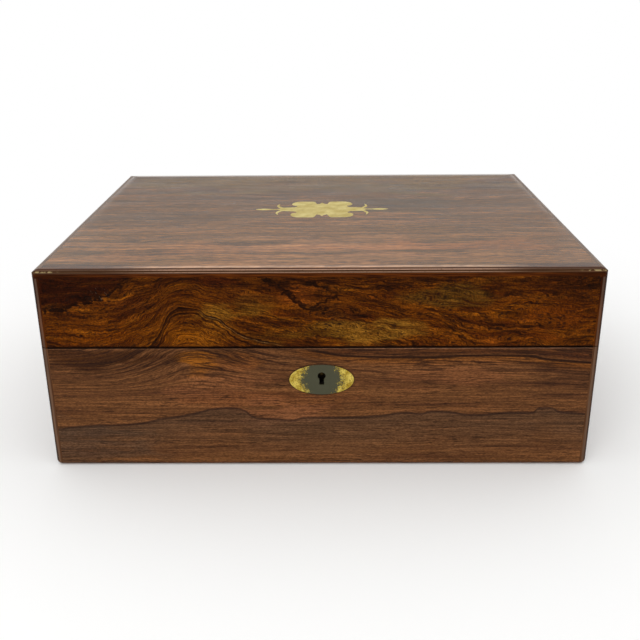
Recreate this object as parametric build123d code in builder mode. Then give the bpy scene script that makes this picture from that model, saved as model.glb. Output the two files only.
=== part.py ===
from build123d import *
import os
from math import acos, atan2, cos, degrees, pi, radians, sin, sqrt, tan

# A wind-up cylinder music box in a rosewood veneered case. Millimetres, +Z up.
# The origin is the middle of the footprint, on the surface it stands on. The lock faces -Y.

# Case and lid
case_width = 300.0
case_depth = 238.0
case_height = 72.0
lid_height = 43.5
seam_gap = 0.5
wall_board = 9.2
floor_board = 8.0
lid_board = 7.2
veneer = 0.8
edging = 4.0
corner_radius = 3.5
foot_radius = 2.5
top_radius = 2.5
crown_width = 9.0
crown_radius = 45.0

# Escutcheon, keyhole and cartouche
lock_x = 1.2
escutcheon_width = 35.0
escutcheon_height = 17.7
escutcheon_below_rim = 18.8
escutcheon_proud = 0.2
key_below_rim = 16.6
key_eye = 2.2
key_slot = 2.6
key_drop = 5.2
drill_pin = 0.8
cartouche_x = 0.8
cartouche_y = 7.3

# Lock
lock_width = 52.0
lock_drop = 30.0
lock_plate_thickness = 1.6
lock_works = 5.6
cap_width = 40.0
cap_drop = 24.0
cap_wall = 1.0
staple_pitch = 16.0
staple_thickness = 2.2
staple_width = 3.8
staple_drop = 11.5
staple_foot = 1.2
staple_room = 0.5
bolt_travel = 5.0
bolt_thickness = 1.8
bolt_bar = 3.8
finger_length = 5.0
finger_height = 3.4
finger_room = 0.3
arm_width = 3.0
bolt_rest_gap = 0.8
ledge = 2.0
slide_clearance = 0.1

# Hinges and wood screws
hinge_spread = 95.0
hinge_length = 45.0
leaf_width = 8.0
leaf_thickness = 1.6
knuckle_radius = 2.3
knuckle_count = 5
knuckle_room = 0.3
hinge_offset = 0.5
hinge_pin = 1.1
running_clearance = 0.05
screw_head = 2.2
screw_shank = 1.1
screw_length = 6.5
screw_slot = 0.5
screw_angle = 82.0
screw_edge = 3.2
hinge_screw_pitch = 15.0

# Partitions and bedplate
left_room = 37.0
right_room = 30.0
partition = 6.0
partition_height = 58.0
bed_gap = 1.0
bed_thickness = 4.0
bed_front = 80.0
bed_back = 92.0
bed_foot = 7.0
bed_foot_height = 6.0
bed_clearance = 2.5
bolt_inset = 12.0
machine_head = 2.8
machine_head_height = 2.0
machine_shank = 1.5
machine_length = 14.0

# Gears: teeth counts and modules
barrel_teeth = 60
pinion_teeth = 15
barrel_module = 0.8
great_teeth = 60
first_pinion_teeth = 12
great_module = 0.7
first_teeth = 40
second_pinion_teeth = 10
first_module = 0.6
worm_wheel_teeth = 20
worm_module = 0.8
pressure_angle = 20.0
tooth_addendum = 0.9
tooth_dedendum = 1.3
tooth_thinning = 0.22

# Spring barrel and winding work
barrel_radius = 21.0
barrel_length = 26.0
barrel_wall = 1.8
barrel_cap_thickness = 2.0
barrel_wheel_width = 4.0
spring_thickness = 0.8
spring_turns = 6
spring_clearance = 0.5
arbor_radius = 4.0
arbor_pivot = 2.5
arbor_hole = 6.0
winding_plate_thickness = 3.0
winding_plate_margin = 3.0
ratchet_teeth = 16
ratchet_tip = 12.0
ratchet_root = 10.0
ratchet_width = 3.0
side_clearance = 1.0
pawl_reach = 14.0
pawl_pivot_height = 14.5
pawl_boss = 2.4
pawl_pin = 1.4
pawl_gap = 0.3
pawl_nose_gap = 0.55
pawl_lift = 9.0
click_spring_thickness = 0.5
lever_thickness = 4.0
lever_length = 50.0
lever_tail = 24.0
lever_boss = 9.0
lever_width = 8.0
handle_length = 18.0
handle_radius = 5.0
rivet_radius = 6.5
rivet_thickness = 2.5

# Cylinder, bridges and comb
cylinder_radius = 22.0
cylinder_wall = 1.5
cylinder_cap = 3.0
cylinder_y = 14.0
cylinder_arbor_radius = 3.0
cylinder_pivot = 2.0
bridge_thickness = 5.0
bridge_margin = 9.0
bridge_corner = 6.0
great_wheel_width = 3.0
great_wheel_gap = 2.5
pinion_overlap = 0.5
pin_height = 0.9
comb_gap = 0.3
comb_thickness = 2.4
comb_pitch = 2.05
comb_slot = 0.45
comb_bass_tooth = 44.0
comb_treble_tooth = 30.0
comb_clamp = 23.0
comb_margin = 3.0
comb_screw_count = 5

# Governor and stop lever
governor_gap = 4.5
governor_plate = 2.5
governor_room = 12.5
governor_base = 4.0
governor_margin = 8.0
governor_arbor = 1.5
governor_pivot = 1.0
first_wheel_width = 2.5
second_wheel_width = 2.6
wheel_side_gap = 1.5
worm_core = 2.2
worm_tip = 3.6
worm_pitch_radius = 3.0
worm_turns = 5
worm_tooth_root = 0.9
worm_tooth_tip = 0.5
brake_radius = 4.5
brake_height = 3.0
brake_lift = 4.0
fly_radius = 10.0
fly_height = 10.0
fly_thickness = 0.6
fly_lift = 3.0
cock_thickness = 2.5
cock_width = 5.0
cock_gap = 1.5
stop_strip = 2.0
stop_width = 3.0
stop_arm = 17.0
stop_handle = 27.0
stop_gap = 2.5
stop_boss = 4.0
stop_stud = 1.8
stop_post = 3.4
stop_head = 2.4
stop_angle = 7.5
knob_radius = 3.2
knob_height = 16.0

# Places worked out from the sizes above
lid_bottom = case_height + seam_gap
lid_top = lid_bottom + lid_height
half_width = case_width / 2
half_depth = case_depth / 2
inside_x = half_width - veneer - wall_board
inside_y = half_depth - veneer - wall_board
lid_ceiling = lid_top - veneer - lid_board
escutcheon_z = case_height - escutcheon_below_rim
key_z = case_height - key_below_rim
hinge_y = half_depth + hinge_offset
hinge_z = case_height + seam_gap / 2
selvedge_depth = lock_plate_thickness + lock_works
works_back = -inside_y - lock_plate_thickness
works_front = -inside_y - selvedge_depth
works_top = case_height - lock_plate_thickness
works_mid = (works_back + works_front + cap_wall) / 2
staple_low = lid_bottom - staple_drop
finger_low = staple_low + staple_foot + finger_room
eye_half = bolt_thickness / 2 + finger_room
bar_top = staple_low - finger_room
bar_low = bar_top - bolt_bar
staple_places = [lock_x - staple_pitch / 2, lock_x + staple_pitch / 2]

left_wall = -inside_x + left_room
left_wall_inner = left_wall + partition
right_wall_inner = inside_x - right_room - partition
right_wall = inside_x - right_room
partition_top = floor_board + partition_height
bed_low = floor_board + bed_foot_height
bed_top = bed_low + bed_thickness
bed_left = left_wall_inner + bed_gap
bed_right = right_wall_inner - bed_gap

barrel_pitch = barrel_teeth * barrel_module / 2
barrel_distance = (barrel_teeth + pinion_teeth) * barrel_module / 2
barrel_z = bed_top + bed_clearance + barrel_pitch + tooth_addendum * barrel_module
cylinder_z = bed_top + bed_clearance + cylinder_radius
barrel_rise = barrel_z - cylinder_z
barrel_y = cylinder_y + sqrt(barrel_distance**2 - barrel_rise**2)
arbor_bore = arbor_radius + running_clearance
cylinder_bore = cylinder_pivot + running_clearance

plate_face = left_wall - winding_plate_thickness
ratchet_high = plate_face - side_clearance
ratchet_low = ratchet_high - ratchet_width
lever_high = ratchet_low - side_clearance
lever_low = lever_high - lever_thickness
arbor_left = lever_low - running_clearance - rivet_thickness

barrel_bridge_low = bed_left + side_clearance
barrel_bridge_high = barrel_bridge_low + bridge_thickness
barrel_low = barrel_bridge_high + side_clearance
drum_low = barrel_low + barrel_cap_thickness
drum_high = drum_low + barrel_length
wheel_high = drum_high + barrel_wheel_width
left_bridge_low = wheel_high + 2 * side_clearance
left_bridge_high = left_bridge_low + bridge_thickness
cylinder_low = left_bridge_high + 2 * side_clearance

governor_right = right_wall_inner - governor_gap
governor_right_low = governor_right - governor_plate
governor_left_high = governor_right_low - governor_room
governor_left_low = governor_left_high - governor_plate
great_wheel_high = governor_left_low - great_wheel_gap
great_wheel_low = great_wheel_high - great_wheel_width
cylinder_high = great_wheel_low - great_wheel_gap
right_bridge_low = great_wheel_high + 2 * side_clearance
right_bridge_high = right_bridge_low + bridge_thickness

first_distance = (great_teeth + first_pinion_teeth) * great_module / 2
second_distance = (first_teeth + second_pinion_teeth) * first_module / 2
first_y = cylinder_y + first_distance
second_y = first_y + second_distance
governor_z = cylinder_z
fly_y = second_y + worm_wheel_teeth * worm_module / 2 + worm_pitch_radius
first_wheel_low = governor_left_high + wheel_side_gap
first_wheel_high = first_wheel_low + first_wheel_width
second_wheel_high = governor_right_low - wheel_side_gap - worm_tip / 2
second_wheel_low = second_wheel_high - second_wheel_width
fly_x = (second_wheel_low + second_wheel_high) / 2
base_top = bed_top + governor_base
brake_low = base_top + brake_lift
worm_pitch = pi * worm_module
worm_length = worm_turns * worm_pitch
worm_low = governor_z - worm_length / 2
vane_low = governor_z + governor_margin + fly_lift
vane_high = vane_low + fly_height
cock_low = vane_high + cock_gap
cock_y = fly_y + fly_radius + cock_gap

comb_tip = cylinder_y - cylinder_radius - pin_height - comb_gap
comb_root = comb_tip - comb_bass_tooth
comb_front = comb_root - comb_clamp
comb_low = cylinder_z - comb_thickness / 2
comb_high = comb_low + comb_thickness
comb_count = int((cylinder_high - cylinder_low - 2 * comb_margin) / comb_pitch)
comb_width = comb_count * comb_pitch
comb_left = (cylinder_low + cylinder_high - comb_width) / 2

stop_x = fly_x + brake_radius + stop_gap
stop_y = fly_y + stop_arm
stop_low = brake_low + (brake_height - stop_strip) / 2
stop_high = stop_low + stop_strip


def save(builder, name):
    """Labels a finished piece and writes it under its own name."""
    builder.part.label = name
    export_step(builder.part, f"parts/{name}.step")


def block(low, high, mode=Mode.ADD):
    """A box between two opposite corners, in the part being built."""
    with Locations(tuple((a + b) / 2 for a, b in zip(low, high))):
        Box(*[abs(b - a) for a, b in zip(low, high)], mode=mode)


def rod_x(x_low, x_high, y, z, radius, mode=Mode.ADD):
    """A round bar along X, in the part being built."""
    with Locations(((x_low + x_high) / 2, y, z)):
        Cylinder(radius, x_high - x_low, rotation=(0, 90, 0), mode=mode)


def rod_y(y_low, y_high, x, z, radius, mode=Mode.ADD):
    """A round bar along Y, in the part being built."""
    with Locations((x, (y_low + y_high) / 2, z)):
        Cylinder(radius, y_high - y_low, rotation=(90, 0, 0), mode=mode)


def rod_z(z_low, z_high, x, y, radius, mode=Mode.ADD):
    """A round bar along Z, in the part being built."""
    with Locations((x, y, (z_low + z_high) / 2)):
        Cylinder(radius, z_high - z_low, mode=mode)


def involute(angle):
    """The involute function of a pressure angle, in radians."""
    return tan(angle) - angle


def gear_points(center, teeth, module, phase):
    """Outline of a spur gear: involute flanks, thinned for backlash, with a tooth at the phase angle."""
    pitch = teeth * module / 2
    base = pitch * cos(radians(pressure_angle))
    tip = pitch + tooth_addendum * module
    root = pitch - tooth_dedendum * module
    start = max(base, root)
    half = pi / (2 * teeth) - tooth_thinning * module / (2 * pitch) + involute(radians(pressure_angle))
    radii = [start, (start + tip) / 2, tip]
    flank = [(r, half - involute(acos(base / r))) for r in radii]
    flank.insert(0, (root, half))
    points = []
    for tooth in range(teeth):
        middle = radians(phase) + 2 * pi * tooth / teeth
        rising = [(r, middle - a) for r, a in flank]
        falling = [(r, middle + a) for r, a in reversed(flank)]
        points += rising + falling
    return [(center[0] + r * cos(a), center[1] + r * sin(a)) for r, a in points]


def gear(x_low, x_high, center, teeth, module, phase):
    """A toothed disc square to X."""
    with BuildPart() as disc:
        with BuildSketch(Plane.YZ.offset(x_low)):
            with BuildLine():
                Polyline(*gear_points(center, teeth, module, phase), close=True)
            make_face()
        extrude(amount=x_high - x_low)
    return disc.part


def plate_x(x_low, x_high, y_low, y_high, z_low, z_high, corner):
    """An upright plate square to X, with its two top corners rounded."""
    with BuildPart() as plate:
        block((x_low, y_low, z_low), (x_high, y_high, z_high))
        fillet(plate.edges().filter_by(Axis.X).group_by(Axis.Z)[-1], corner)
    return plate.part


# Outer shapes that the case and the lid are trimmed to
with BuildPart() as case_block:
    block((-half_width, -half_depth, 0), (half_width, half_depth, case_height))
    fillet(case_block.edges().filter_by(Axis.Z), corner_radius)
    fillet(case_block.faces().sort_by(Axis.Z)[0].edges(), foot_radius)


def crowned_bar(plane, half, reach):
    """A bar whose flat top falls softly to both long edges."""
    drop = sqrt((crown_radius - top_radius) ** 2 - (crown_width - top_radius) ** 2)
    turn = degrees(atan2(drop, crown_width - top_radius))
    shoulder = lid_top - crown_radius + drop
    with BuildPart() as bar:
        with BuildSketch(plane):
            with BuildLine():
                Line((0, lid_bottom), (half, lid_bottom))
                Line((half, lid_bottom), (half, shoulder))
                CenterArc((half - top_radius, shoulder), top_radius, 0, turn)
                CenterArc((half - crown_width, lid_top - crown_radius), crown_radius, turn, 90 - turn)
                Line((half - crown_width, lid_top), (0, lid_top))
                mirror(about=Plane.YZ)
            make_face()
        extrude(amount=reach, both=True)
    return bar.part


with BuildPart() as lid_block:
    with BuildSketch(Plane.XY.offset(lid_bottom)):
        RectangleRounded(case_width, case_depth, corner_radius)
    extrude(amount=lid_height)
    add(crowned_bar(Plane.XZ, half_width, case_depth), mode=Mode.INTERSECT)
    add(crowned_bar(Plane.YZ, half_depth, case_width), mode=Mode.INTERSECT)

# Cutters shared by the pieces that meet at the lock and the hinges
with BuildPart() as keyhole:
    with BuildSketch(Plane.XZ.offset(inside_y)):
        with Locations((lock_x, key_z)):
            Circle(key_eye)
        with Locations((lock_x, key_z - key_drop / 2)):
            Rectangle(key_slot, key_drop)
    extrude(amount=half_depth - inside_y + escutcheon_proud)

with BuildPart() as escutcheon_blank:
    face = Plane((lock_x, -half_depth + veneer, escutcheon_z), x_dir=(1, 0, 0), z_dir=(0, -1, 0))
    with BuildSketch(face):
        Ellipse(escutcheon_width / 2, escutcheon_height / 2)
    extrude(amount=veneer + escutcheon_proud)

with BuildPart() as knuckle_groove:
    for side in (-1, 1):
        middle = side * hinge_spread
        reach = hinge_length / 2 + knuckle_room
        rod_x(middle - reach, middle + reach, hinge_y, hinge_z, knuckle_radius + knuckle_room)

# Quarter of the cartouche's outline, from the cusp in the middle of the top to the dart's point
cusp = (0, 18.0)
valley = (3.4, 13.6)
lobe_rise = (4.6, 18.6)
lobe_top = (7.0, 20.8)
lobe_turn = (13.5, 20.8)
lobe_side = (20.0, 14.3)
notch = (16.5, 9.0)
neck_start = (19.5, 5.2)
neck_end = (25.6, 4.4)
hook_tip = (27.8, 14.4)
hook_root = (27.4, 3.2)
stem_start = (29.4, 0.8)
stem_end = (33.0, 0.8)
dart_tip = (43.4, 0)

with BuildPart() as lid_inlay:
    with BuildSketch(Plane(origin=(cartouche_x, cartouche_y, lid_top - veneer))):
        with BuildLine():
            ThreePointArc(cusp, (1.2, 15.2), valley)
            Line(valley, lobe_rise)
            ThreePointArc(lobe_rise, (5.4, 20.2), lobe_top)
            Line(lobe_top, lobe_turn)
            ThreePointArc(lobe_turn, (18.1, 18.9), lobe_side)
            ThreePointArc(lobe_side, (19.3, 10.9), notch)
            ThreePointArc(notch, (17.2, 6.4), neck_start)
            Line(neck_start, neck_end)
            ThreePointArc(neck_end, (28.3, 9.2), hook_tip)
            ThreePointArc(hook_tip, (29.9, 9.2), hook_root)
            ThreePointArc(hook_root, (28.0, 1.6), stem_start)
            Line(stem_start, stem_end)
            ThreePointArc(stem_end, (38.6, 2.0), dart_tip)
            mirror(about=Plane.XZ)
            mirror(about=Plane.YZ)
        make_face()
    extrude(amount=veneer)

# Screws: one wood screw and one machine screw, heads at the origin, shanks down -Z
with BuildPart() as wood_screw:
    head_height = (screw_head - screw_shank) / tan(radians(screw_angle / 2))
    with Locations((0, 0, -head_height / 2)):
        Cone(screw_shank, screw_head, head_height)
    rod_z(-screw_length, -head_height, 0, 0, screw_shank)
    slot_reach = screw_head + screw_slot
    block((-slot_reach, -screw_slot / 2, -screw_slot), (slot_reach, screw_slot / 2, 0), Mode.SUBTRACT)

with BuildPart() as machine_screw:
    rod_z(0, machine_head_height, 0, 0, machine_head)
    rod_z(-machine_length, 0, 0, 0, machine_shank)
    slot_reach = machine_head + screw_slot
    slot_low = machine_head_height - screw_slot
    block(
        (-slot_reach, -screw_slot / 2, slot_low),
        (slot_reach, screw_slot / 2, machine_head_height),
        Mode.SUBTRACT,
    )

# Where the screws stand: a place and the turn that points each shank
hinge_screw_xy = [
    (side * hinge_spread + step * hinge_screw_pitch, half_depth - leaf_width + screw_edge)
    for side in (-1, 1)
    for step in (-1, 0, 1)
]
case_hinge_screws = [Location((x, y, case_height)) for x, y in hinge_screw_xy]
lid_hinge_screws = [Location((x, y, lid_bottom), (180, 0, 0)) for x, y in hinge_screw_xy]
lock_screws = [
    Location((lock_x + side * (lock_width / 2 - screw_edge), -inside_y, z), (-90, 0, 0))
    for side in (-1, 1)
    for z in (case_height - lock_plate_thickness - screw_edge, case_height - lock_drop + screw_edge)
]
link_screw_y = -inside_y - selvedge_depth / 2
link_screws = [
    Location((lock_x + side * (lock_width / 2 - screw_edge), link_screw_y, lid_bottom), (180, 0, 0))
    for side in (-1, 1)
]
bed_screws = [
    Location((bed_left + bolt_inset, -bed_front + bolt_inset, bed_top)),
    Location((bed_right - bolt_inset, -bed_front + bolt_inset, bed_top)),
    Location((bed_left + bolt_inset, bed_back - bolt_inset, bed_top)),
    Location((great_wheel_low - bolt_inset, bed_back - bolt_inset, bed_top)),
]


def screw_holes(places):
    """Holes for the wood screws that stand at the given places, in the part being built."""
    with Locations(*places):
        with Locations((0, 0, -screw_length / 2)):
            Cylinder(screw_shank + running_clearance, screw_length, mode=Mode.SUBTRACT)


def sunk_holes(places):
    """Countersunk holes at the given places, in the part being built."""
    with Locations(*places):
        CounterSinkHole(
            screw_shank + running_clearance,
            screw_head + running_clearance,
            screw_length,
            counter_sink_angle=screw_angle,
        )


def machine_holes(places):
    """Holes for machine screws at the given places, in the part being built."""
    with Locations(*places):
        with Locations((0, 0, -machine_length / 2)):
            Cylinder(machine_shank + running_clearance, machine_length, mode=Mode.SUBTRACT)


def long_board(side, z_low, z_high):
    """A front (-1) or back (+1) board, with its upright corners cut back for the edging."""
    with BuildPart() as plank:
        block(
            (-half_width + veneer, side * inside_y, z_low),
            (half_width - veneer, side * (half_depth - veneer), z_high),
        )
        for end in (-1, 1):
            block(
                (end * (half_width - edging), side * (half_depth - edging), z_low),
                (end * half_width, side * half_depth, z_high),
                Mode.SUBTRACT,
            )
    return plank.part


def end_board(side, z_low, z_high):
    """A left (-1) or right (+1) board between the long boards."""
    with BuildPart() as plank:
        block((side * inside_x, -inside_y, z_low), (side * (half_width - veneer), inside_y, z_high))
    return plank.part


def leaf_recess(z_low, z_high):
    """The two recesses that the hinge leaves lie in, cut from the board being built."""
    for side in (-1, 1):
        block(
            (side * hinge_spread - hinge_length / 2, half_depth - leaf_width, z_low),
            (side * hinge_spread + hinge_length / 2, half_depth, z_high),
            Mode.SUBTRACT,
        )


os.makedirs("parts", exist_ok=True)
save(lid_inlay, "lid_inlay")

# Case boards
with BuildPart() as case_front:
    add(long_board(-1, 0, case_height))
    block(
        (lock_x - lock_width / 2, works_front, works_top),
        (lock_x + lock_width / 2, -inside_y, case_height),
        Mode.SUBTRACT,
    )
    block(
        (lock_x - lock_width / 2, works_back, case_height - lock_drop),
        (lock_x + lock_width / 2, -inside_y, case_height),
        Mode.SUBTRACT,
    )
    block(
        (lock_x - cap_width / 2, works_front, works_top - cap_drop),
        (lock_x + cap_width / 2, works_back, works_top),
        Mode.SUBTRACT,
    )
    add(keyhole.part, mode=Mode.SUBTRACT)
    screw_holes(lock_screws)
    add(case_block.part, mode=Mode.INTERSECT)
save(case_front, "case_front_board")

with BuildPart() as case_back:
    add(long_board(1, 0, case_height))
    leaf_recess(case_height - leaf_thickness, case_height)
    add(knuckle_groove.part, mode=Mode.SUBTRACT)
    screw_holes(case_hinge_screws)
    add(case_block.part, mode=Mode.INTERSECT)
save(case_back, "case_back_board")

with BuildPart() as case_ends:
    add(end_board(-1, 0, case_height))
    add(end_board(1, 0, case_height))
    add(case_block.part, mode=Mode.INTERSECT)
save(case_ends, "case_end_boards")

with BuildPart() as case_floor:
    block((-inside_x, -inside_y, 0), (inside_x, inside_y, floor_board))
    machine_holes(bed_screws)
save(case_floor, "case_floor")

# Case veneers, edging and escutcheon
with BuildPart() as case_front_veneer:
    block((-half_width + edging, -half_depth, 0), (half_width - edging, -half_depth + veneer, case_height))
    add(escutcheon_blank.part, mode=Mode.SUBTRACT)
    add(case_block.part, mode=Mode.INTERSECT)
save(case_front_veneer, "case_front_veneer")

with BuildPart() as case_back_veneer:
    block((-half_width + edging, half_depth - veneer, 0), (half_width - edging, half_depth, case_height))
    add(knuckle_groove.part, mode=Mode.SUBTRACT)
    leaf_recess(case_height - leaf_thickness, case_height)
    add(case_block.part, mode=Mode.INTERSECT)
save(case_back_veneer, "case_back_veneer")

with BuildPart() as case_end_veneers:
    for side in (-1, 1):
        block(
            (side * (half_width - veneer), -half_depth + edging, 0),
            (side * half_width, half_depth - edging, case_height),
        )
    add(case_block.part, mode=Mode.INTERSECT)
save(case_end_veneers, "case_end_veneers")

with BuildPart() as case_corner_edging:
    for side in (-1, 1):
        for end in (-1, 1):
            block(
                (side * (half_width - edging), end * (half_depth - edging), 0),
                (side * half_width, end * half_depth, case_height),
            )
    add(case_block.part, mode=Mode.INTERSECT)
save(case_corner_edging, "case_corner_edging")

with BuildPart() as escutcheon:
    add(escutcheon_blank.part)
    add(keyhole.part, mode=Mode.SUBTRACT)
save(escutcheon, "escutcheon")

# Lock: plate with selvedge and drill pin, cap over the works, sliding bolt
with BuildPart() as lock_plate:
    block(
        (lock_x - lock_width / 2, works_front, works_top),
        (lock_x + lock_width / 2, -inside_y, case_height),
    )
    block(
        (lock_x - lock_width / 2, works_back, case_height - lock_drop),
        (lock_x + lock_width / 2, -inside_y, works_top),
    )
    for x in staple_places:
        block(
            (x - staple_thickness / 2 - staple_room, works_mid - staple_width / 2 - staple_room, works_top),
            (x + staple_thickness / 2 + staple_room, works_mid + staple_width / 2 + staple_room, case_height),
            Mode.SUBTRACT,
        )
    for side in (-1, 1):
        block(
            (lock_x + side * key_eye * 2, works_mid - bolt_thickness / 2, bar_low - slide_clearance - ledge),
            (lock_x + side * (cap_width / 2 - cap_wall), works_back, bar_low - slide_clearance),
        )
    rod_y(works_front, works_back, lock_x, key_z, drill_pin)
    sunk_holes(lock_screws)
save(lock_plate, "lock_plate")

with BuildPart() as lock_cap:
    block(
        (lock_x - cap_width / 2, works_front, works_top - cap_drop),
        (lock_x + cap_width / 2, works_back, works_top),
    )
    block(
        (lock_x - cap_width / 2 + cap_wall, works_front + cap_wall, works_top - cap_drop + cap_wall),
        (lock_x + cap_width / 2 - cap_wall, works_back, works_top),
        Mode.SUBTRACT,
    )
    add(keyhole.part, mode=Mode.SUBTRACT)
save(lock_cap, "lock_cap")

with BuildPart() as lock_bolt:
    bolt_back = works_mid + bolt_thickness / 2
    bolt_front = works_mid - bolt_thickness / 2
    finger_tips = [x - staple_thickness / 2 - bolt_rest_gap for x in staple_places]
    for tip in finger_tips:
        arm = tip - finger_length
        block((arm, bolt_front, finger_low), (tip, bolt_back, finger_low + finger_height))
        block((arm - arm_width, bolt_front, bar_low), (arm, bolt_back, finger_low + finger_height))
    bar_left = finger_tips[0] - finger_length - arm_width
    block((bar_left, bolt_front, bar_low), (finger_tips[1], bolt_back, bar_top))
    rod_y(bolt_front, bolt_back, lock_x - bolt_travel / 2, bar_low, key_eye, Mode.SUBTRACT)
save(lock_bolt, "lock_bolt")

with BuildPart() as lock_link_plate:
    block(
        (lock_x - lock_width / 2, works_front, lid_bottom),
        (lock_x + lock_width / 2, -inside_y, lid_bottom + lock_plate_thickness),
    )
    for x in staple_places:
        block(
            (x - staple_thickness / 2, works_mid - staple_width / 2, staple_low),
            (x + staple_thickness / 2, works_mid + staple_width / 2, lid_bottom),
        )
        block(
            (x - staple_thickness / 2, works_mid - eye_half, staple_low + staple_foot),
            (x + staple_thickness / 2, works_mid + eye_half, finger_low + finger_height + finger_room),
            Mode.SUBTRACT,
        )
    sunk_holes(link_screws)
save(lock_link_plate, "lock_link_plate")


def hinge_leaves(z_low, z_high, own, places):
    """Two leaves with every second knuckle: own is 0 for the case's knuckles and 1 for the lid's."""
    step = hinge_length / knuckle_count
    with BuildPart() as leaves:
        for side in (-1, 1):
            start = side * hinge_spread - hinge_length / 2
            block((start, half_depth - leaf_width, z_low), (start + hinge_length, hinge_y, z_high))
            for index in range(knuckle_count):
                low = start + index * step
                high = low + step
                if index % 2 == own:
                    rod_x(low + slide_clearance, high - slide_clearance, hinge_y, hinge_z, knuckle_radius)
                else:
                    rod_x(low, high, hinge_y, hinge_z, knuckle_radius + knuckle_room, Mode.SUBTRACT)
            bore = hinge_pin + running_clearance
            rod_x(start, start + hinge_length, hinge_y, hinge_z, bore, Mode.SUBTRACT)
        sunk_holes(places)
    return leaves


case_leaves = hinge_leaves(case_height - leaf_thickness, case_height, 0, case_hinge_screws)
lid_leaves = hinge_leaves(lid_bottom, lid_bottom + leaf_thickness, 1, lid_hinge_screws)
save(case_leaves, "hinge_case_leaves")
save(lid_leaves, "hinge_lid_leaves")

with BuildPart() as hinge_pins:
    for side in (-1, 1):
        middle = side * hinge_spread
        rod_x(middle - hinge_length / 2, middle + hinge_length / 2, hinge_y, hinge_z, hinge_pin)
save(hinge_pins, "hinge_pins")

with BuildPart() as case_screws:
    with Locations(*case_hinge_screws, *lock_screws):
        add(wood_screw.part)
save(case_screws, "case_screws")

with BuildPart() as lid_screws:
    with Locations(*lid_hinge_screws, *link_screws):
        add(wood_screw.part)
save(lid_screws, "lid_screws")

# Lid boards
with BuildPart() as lid_front:
    add(long_board(-1, lid_bottom, lid_ceiling))
    block(
        (lock_x - lock_width / 2, works_front, lid_bottom),
        (lock_x + lock_width / 2, -inside_y, lid_bottom + lock_plate_thickness),
        Mode.SUBTRACT,
    )
    screw_holes(link_screws)
save(lid_front, "lid_front_board")

with BuildPart() as lid_back:
    add(long_board(1, lid_bottom, lid_ceiling))
    leaf_recess(lid_bottom, lid_bottom + leaf_thickness)
    add(knuckle_groove.part, mode=Mode.SUBTRACT)
    screw_holes(lid_hinge_screws)
save(lid_back, "lid_back_board")

with BuildPart() as lid_ends:
    add(end_board(-1, lid_bottom, lid_ceiling))
    add(end_board(1, lid_bottom, lid_ceiling))
save(lid_ends, "lid_end_boards")

with BuildPart() as lid_top_board:
    block(
        (-half_width + veneer, -half_depth + veneer, lid_ceiling),
        (half_width - veneer, half_depth - veneer, lid_top - edging),
    )
    for side in (-1, 1):
        for end in (-1, 1):
            block(
                (side * (half_width - edging), end * (half_depth - edging), lid_ceiling),
                (side * half_width, end * half_depth, lid_top - edging),
                Mode.SUBTRACT,
            )
    block(
        (-half_width + edging, -half_depth + edging, lid_top - edging),
        (half_width - edging, half_depth - edging, lid_top - veneer),
    )
save(lid_top_board, "lid_top_board")

# Lid veneers and edging
with BuildPart() as lid_top_veneer:
    block(
        (-half_width + edging, -half_depth + edging, lid_top - veneer),
        (half_width - edging, half_depth - edging, lid_top),
    )
    add(lid_inlay.part, mode=Mode.SUBTRACT)
    add(lid_block.part, mode=Mode.INTERSECT)
save(lid_top_veneer, "lid_top_veneer")

with BuildPart() as lid_front_veneer:
    block(
        (-half_width + edging, -half_depth, lid_bottom),
        (half_width - edging, -half_depth + veneer, lid_top - edging),
    )
save(lid_front_veneer, "lid_front_veneer")

with BuildPart() as lid_back_veneer:
    block(
        (-half_width + edging, half_depth - veneer, lid_bottom),
        (half_width - edging, half_depth, lid_top - edging),
    )
    leaf_recess(lid_bottom, lid_bottom + leaf_thickness)
    add(knuckle_groove.part, mode=Mode.SUBTRACT)
save(lid_back_veneer, "lid_back_veneer")

with BuildPart() as lid_end_veneers:
    for side in (-1, 1):
        block(
            (side * (half_width - veneer), -half_depth + edging, lid_bottom),
            (side * half_width, half_depth - edging, lid_top - edging),
        )
save(lid_end_veneers, "lid_end_veneers")


def mitred_strip(turn, half_length, half_reach):
    """One strip of the rim round the lid's top, mitred at both ends, trimmed to the lid's outer shape."""
    with BuildPart() as strip:
        with BuildSketch(Plane((0, 0, lid_top - edging), x_dir=(cos(turn), sin(turn), 0))):
            with BuildLine():
                Polyline(
                    (-half_length, -half_reach),
                    (half_length, -half_reach),
                    (half_length - edging, -half_reach + edging),
                    (-half_length + edging, -half_reach + edging),
                    close=True,
                )
            make_face()
        extrude(amount=edging)
        add(lid_block.part, mode=Mode.INTERSECT)
    return strip.part


with BuildPart() as lid_posts:
    for side in (-1, 1):
        for end in (-1, 1):
            block(
                (side * (half_width - edging), end * (half_depth - edging), lid_bottom),
                (side * half_width, end * half_depth, lid_top - edging),
            )
    add(lid_block.part, mode=Mode.INTERSECT)

rim_strips = [mitred_strip(turn, half_width, half_depth) for turn in (0, pi)]
rim_strips += [mitred_strip(turn, half_depth, half_width) for turn in (pi / 2, -pi / 2)]
lid_edging = Part(children=[*lid_posts.part.solids(), *rim_strips])
lid_edging.label = "lid_edging"
export_step(lid_edging, "parts/lid_edging.step")

# Partitions
with BuildPart() as left_partition:
    block((left_wall, -inside_y, floor_board), (left_wall_inner, inside_y, partition_top))
    rod_x(left_wall, left_wall_inner, barrel_y, barrel_z, arbor_hole, Mode.SUBTRACT)
save(left_partition, "left_partition")

with BuildPart() as right_partition:
    block((right_wall_inner, -inside_y, floor_board), (right_wall, inside_y, partition_top))
    swing = (right_wall - stop_x) * sin(radians(stop_angle)) + stop_width / 2
    block(
        (right_wall_inner, stop_y - swing - side_clearance, stop_low - side_clearance),
        (right_wall, stop_y + stop_width / 2 + side_clearance, stop_high + side_clearance),
        Mode.SUBTRACT,
    )
save(right_partition, "right_partition")

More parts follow.
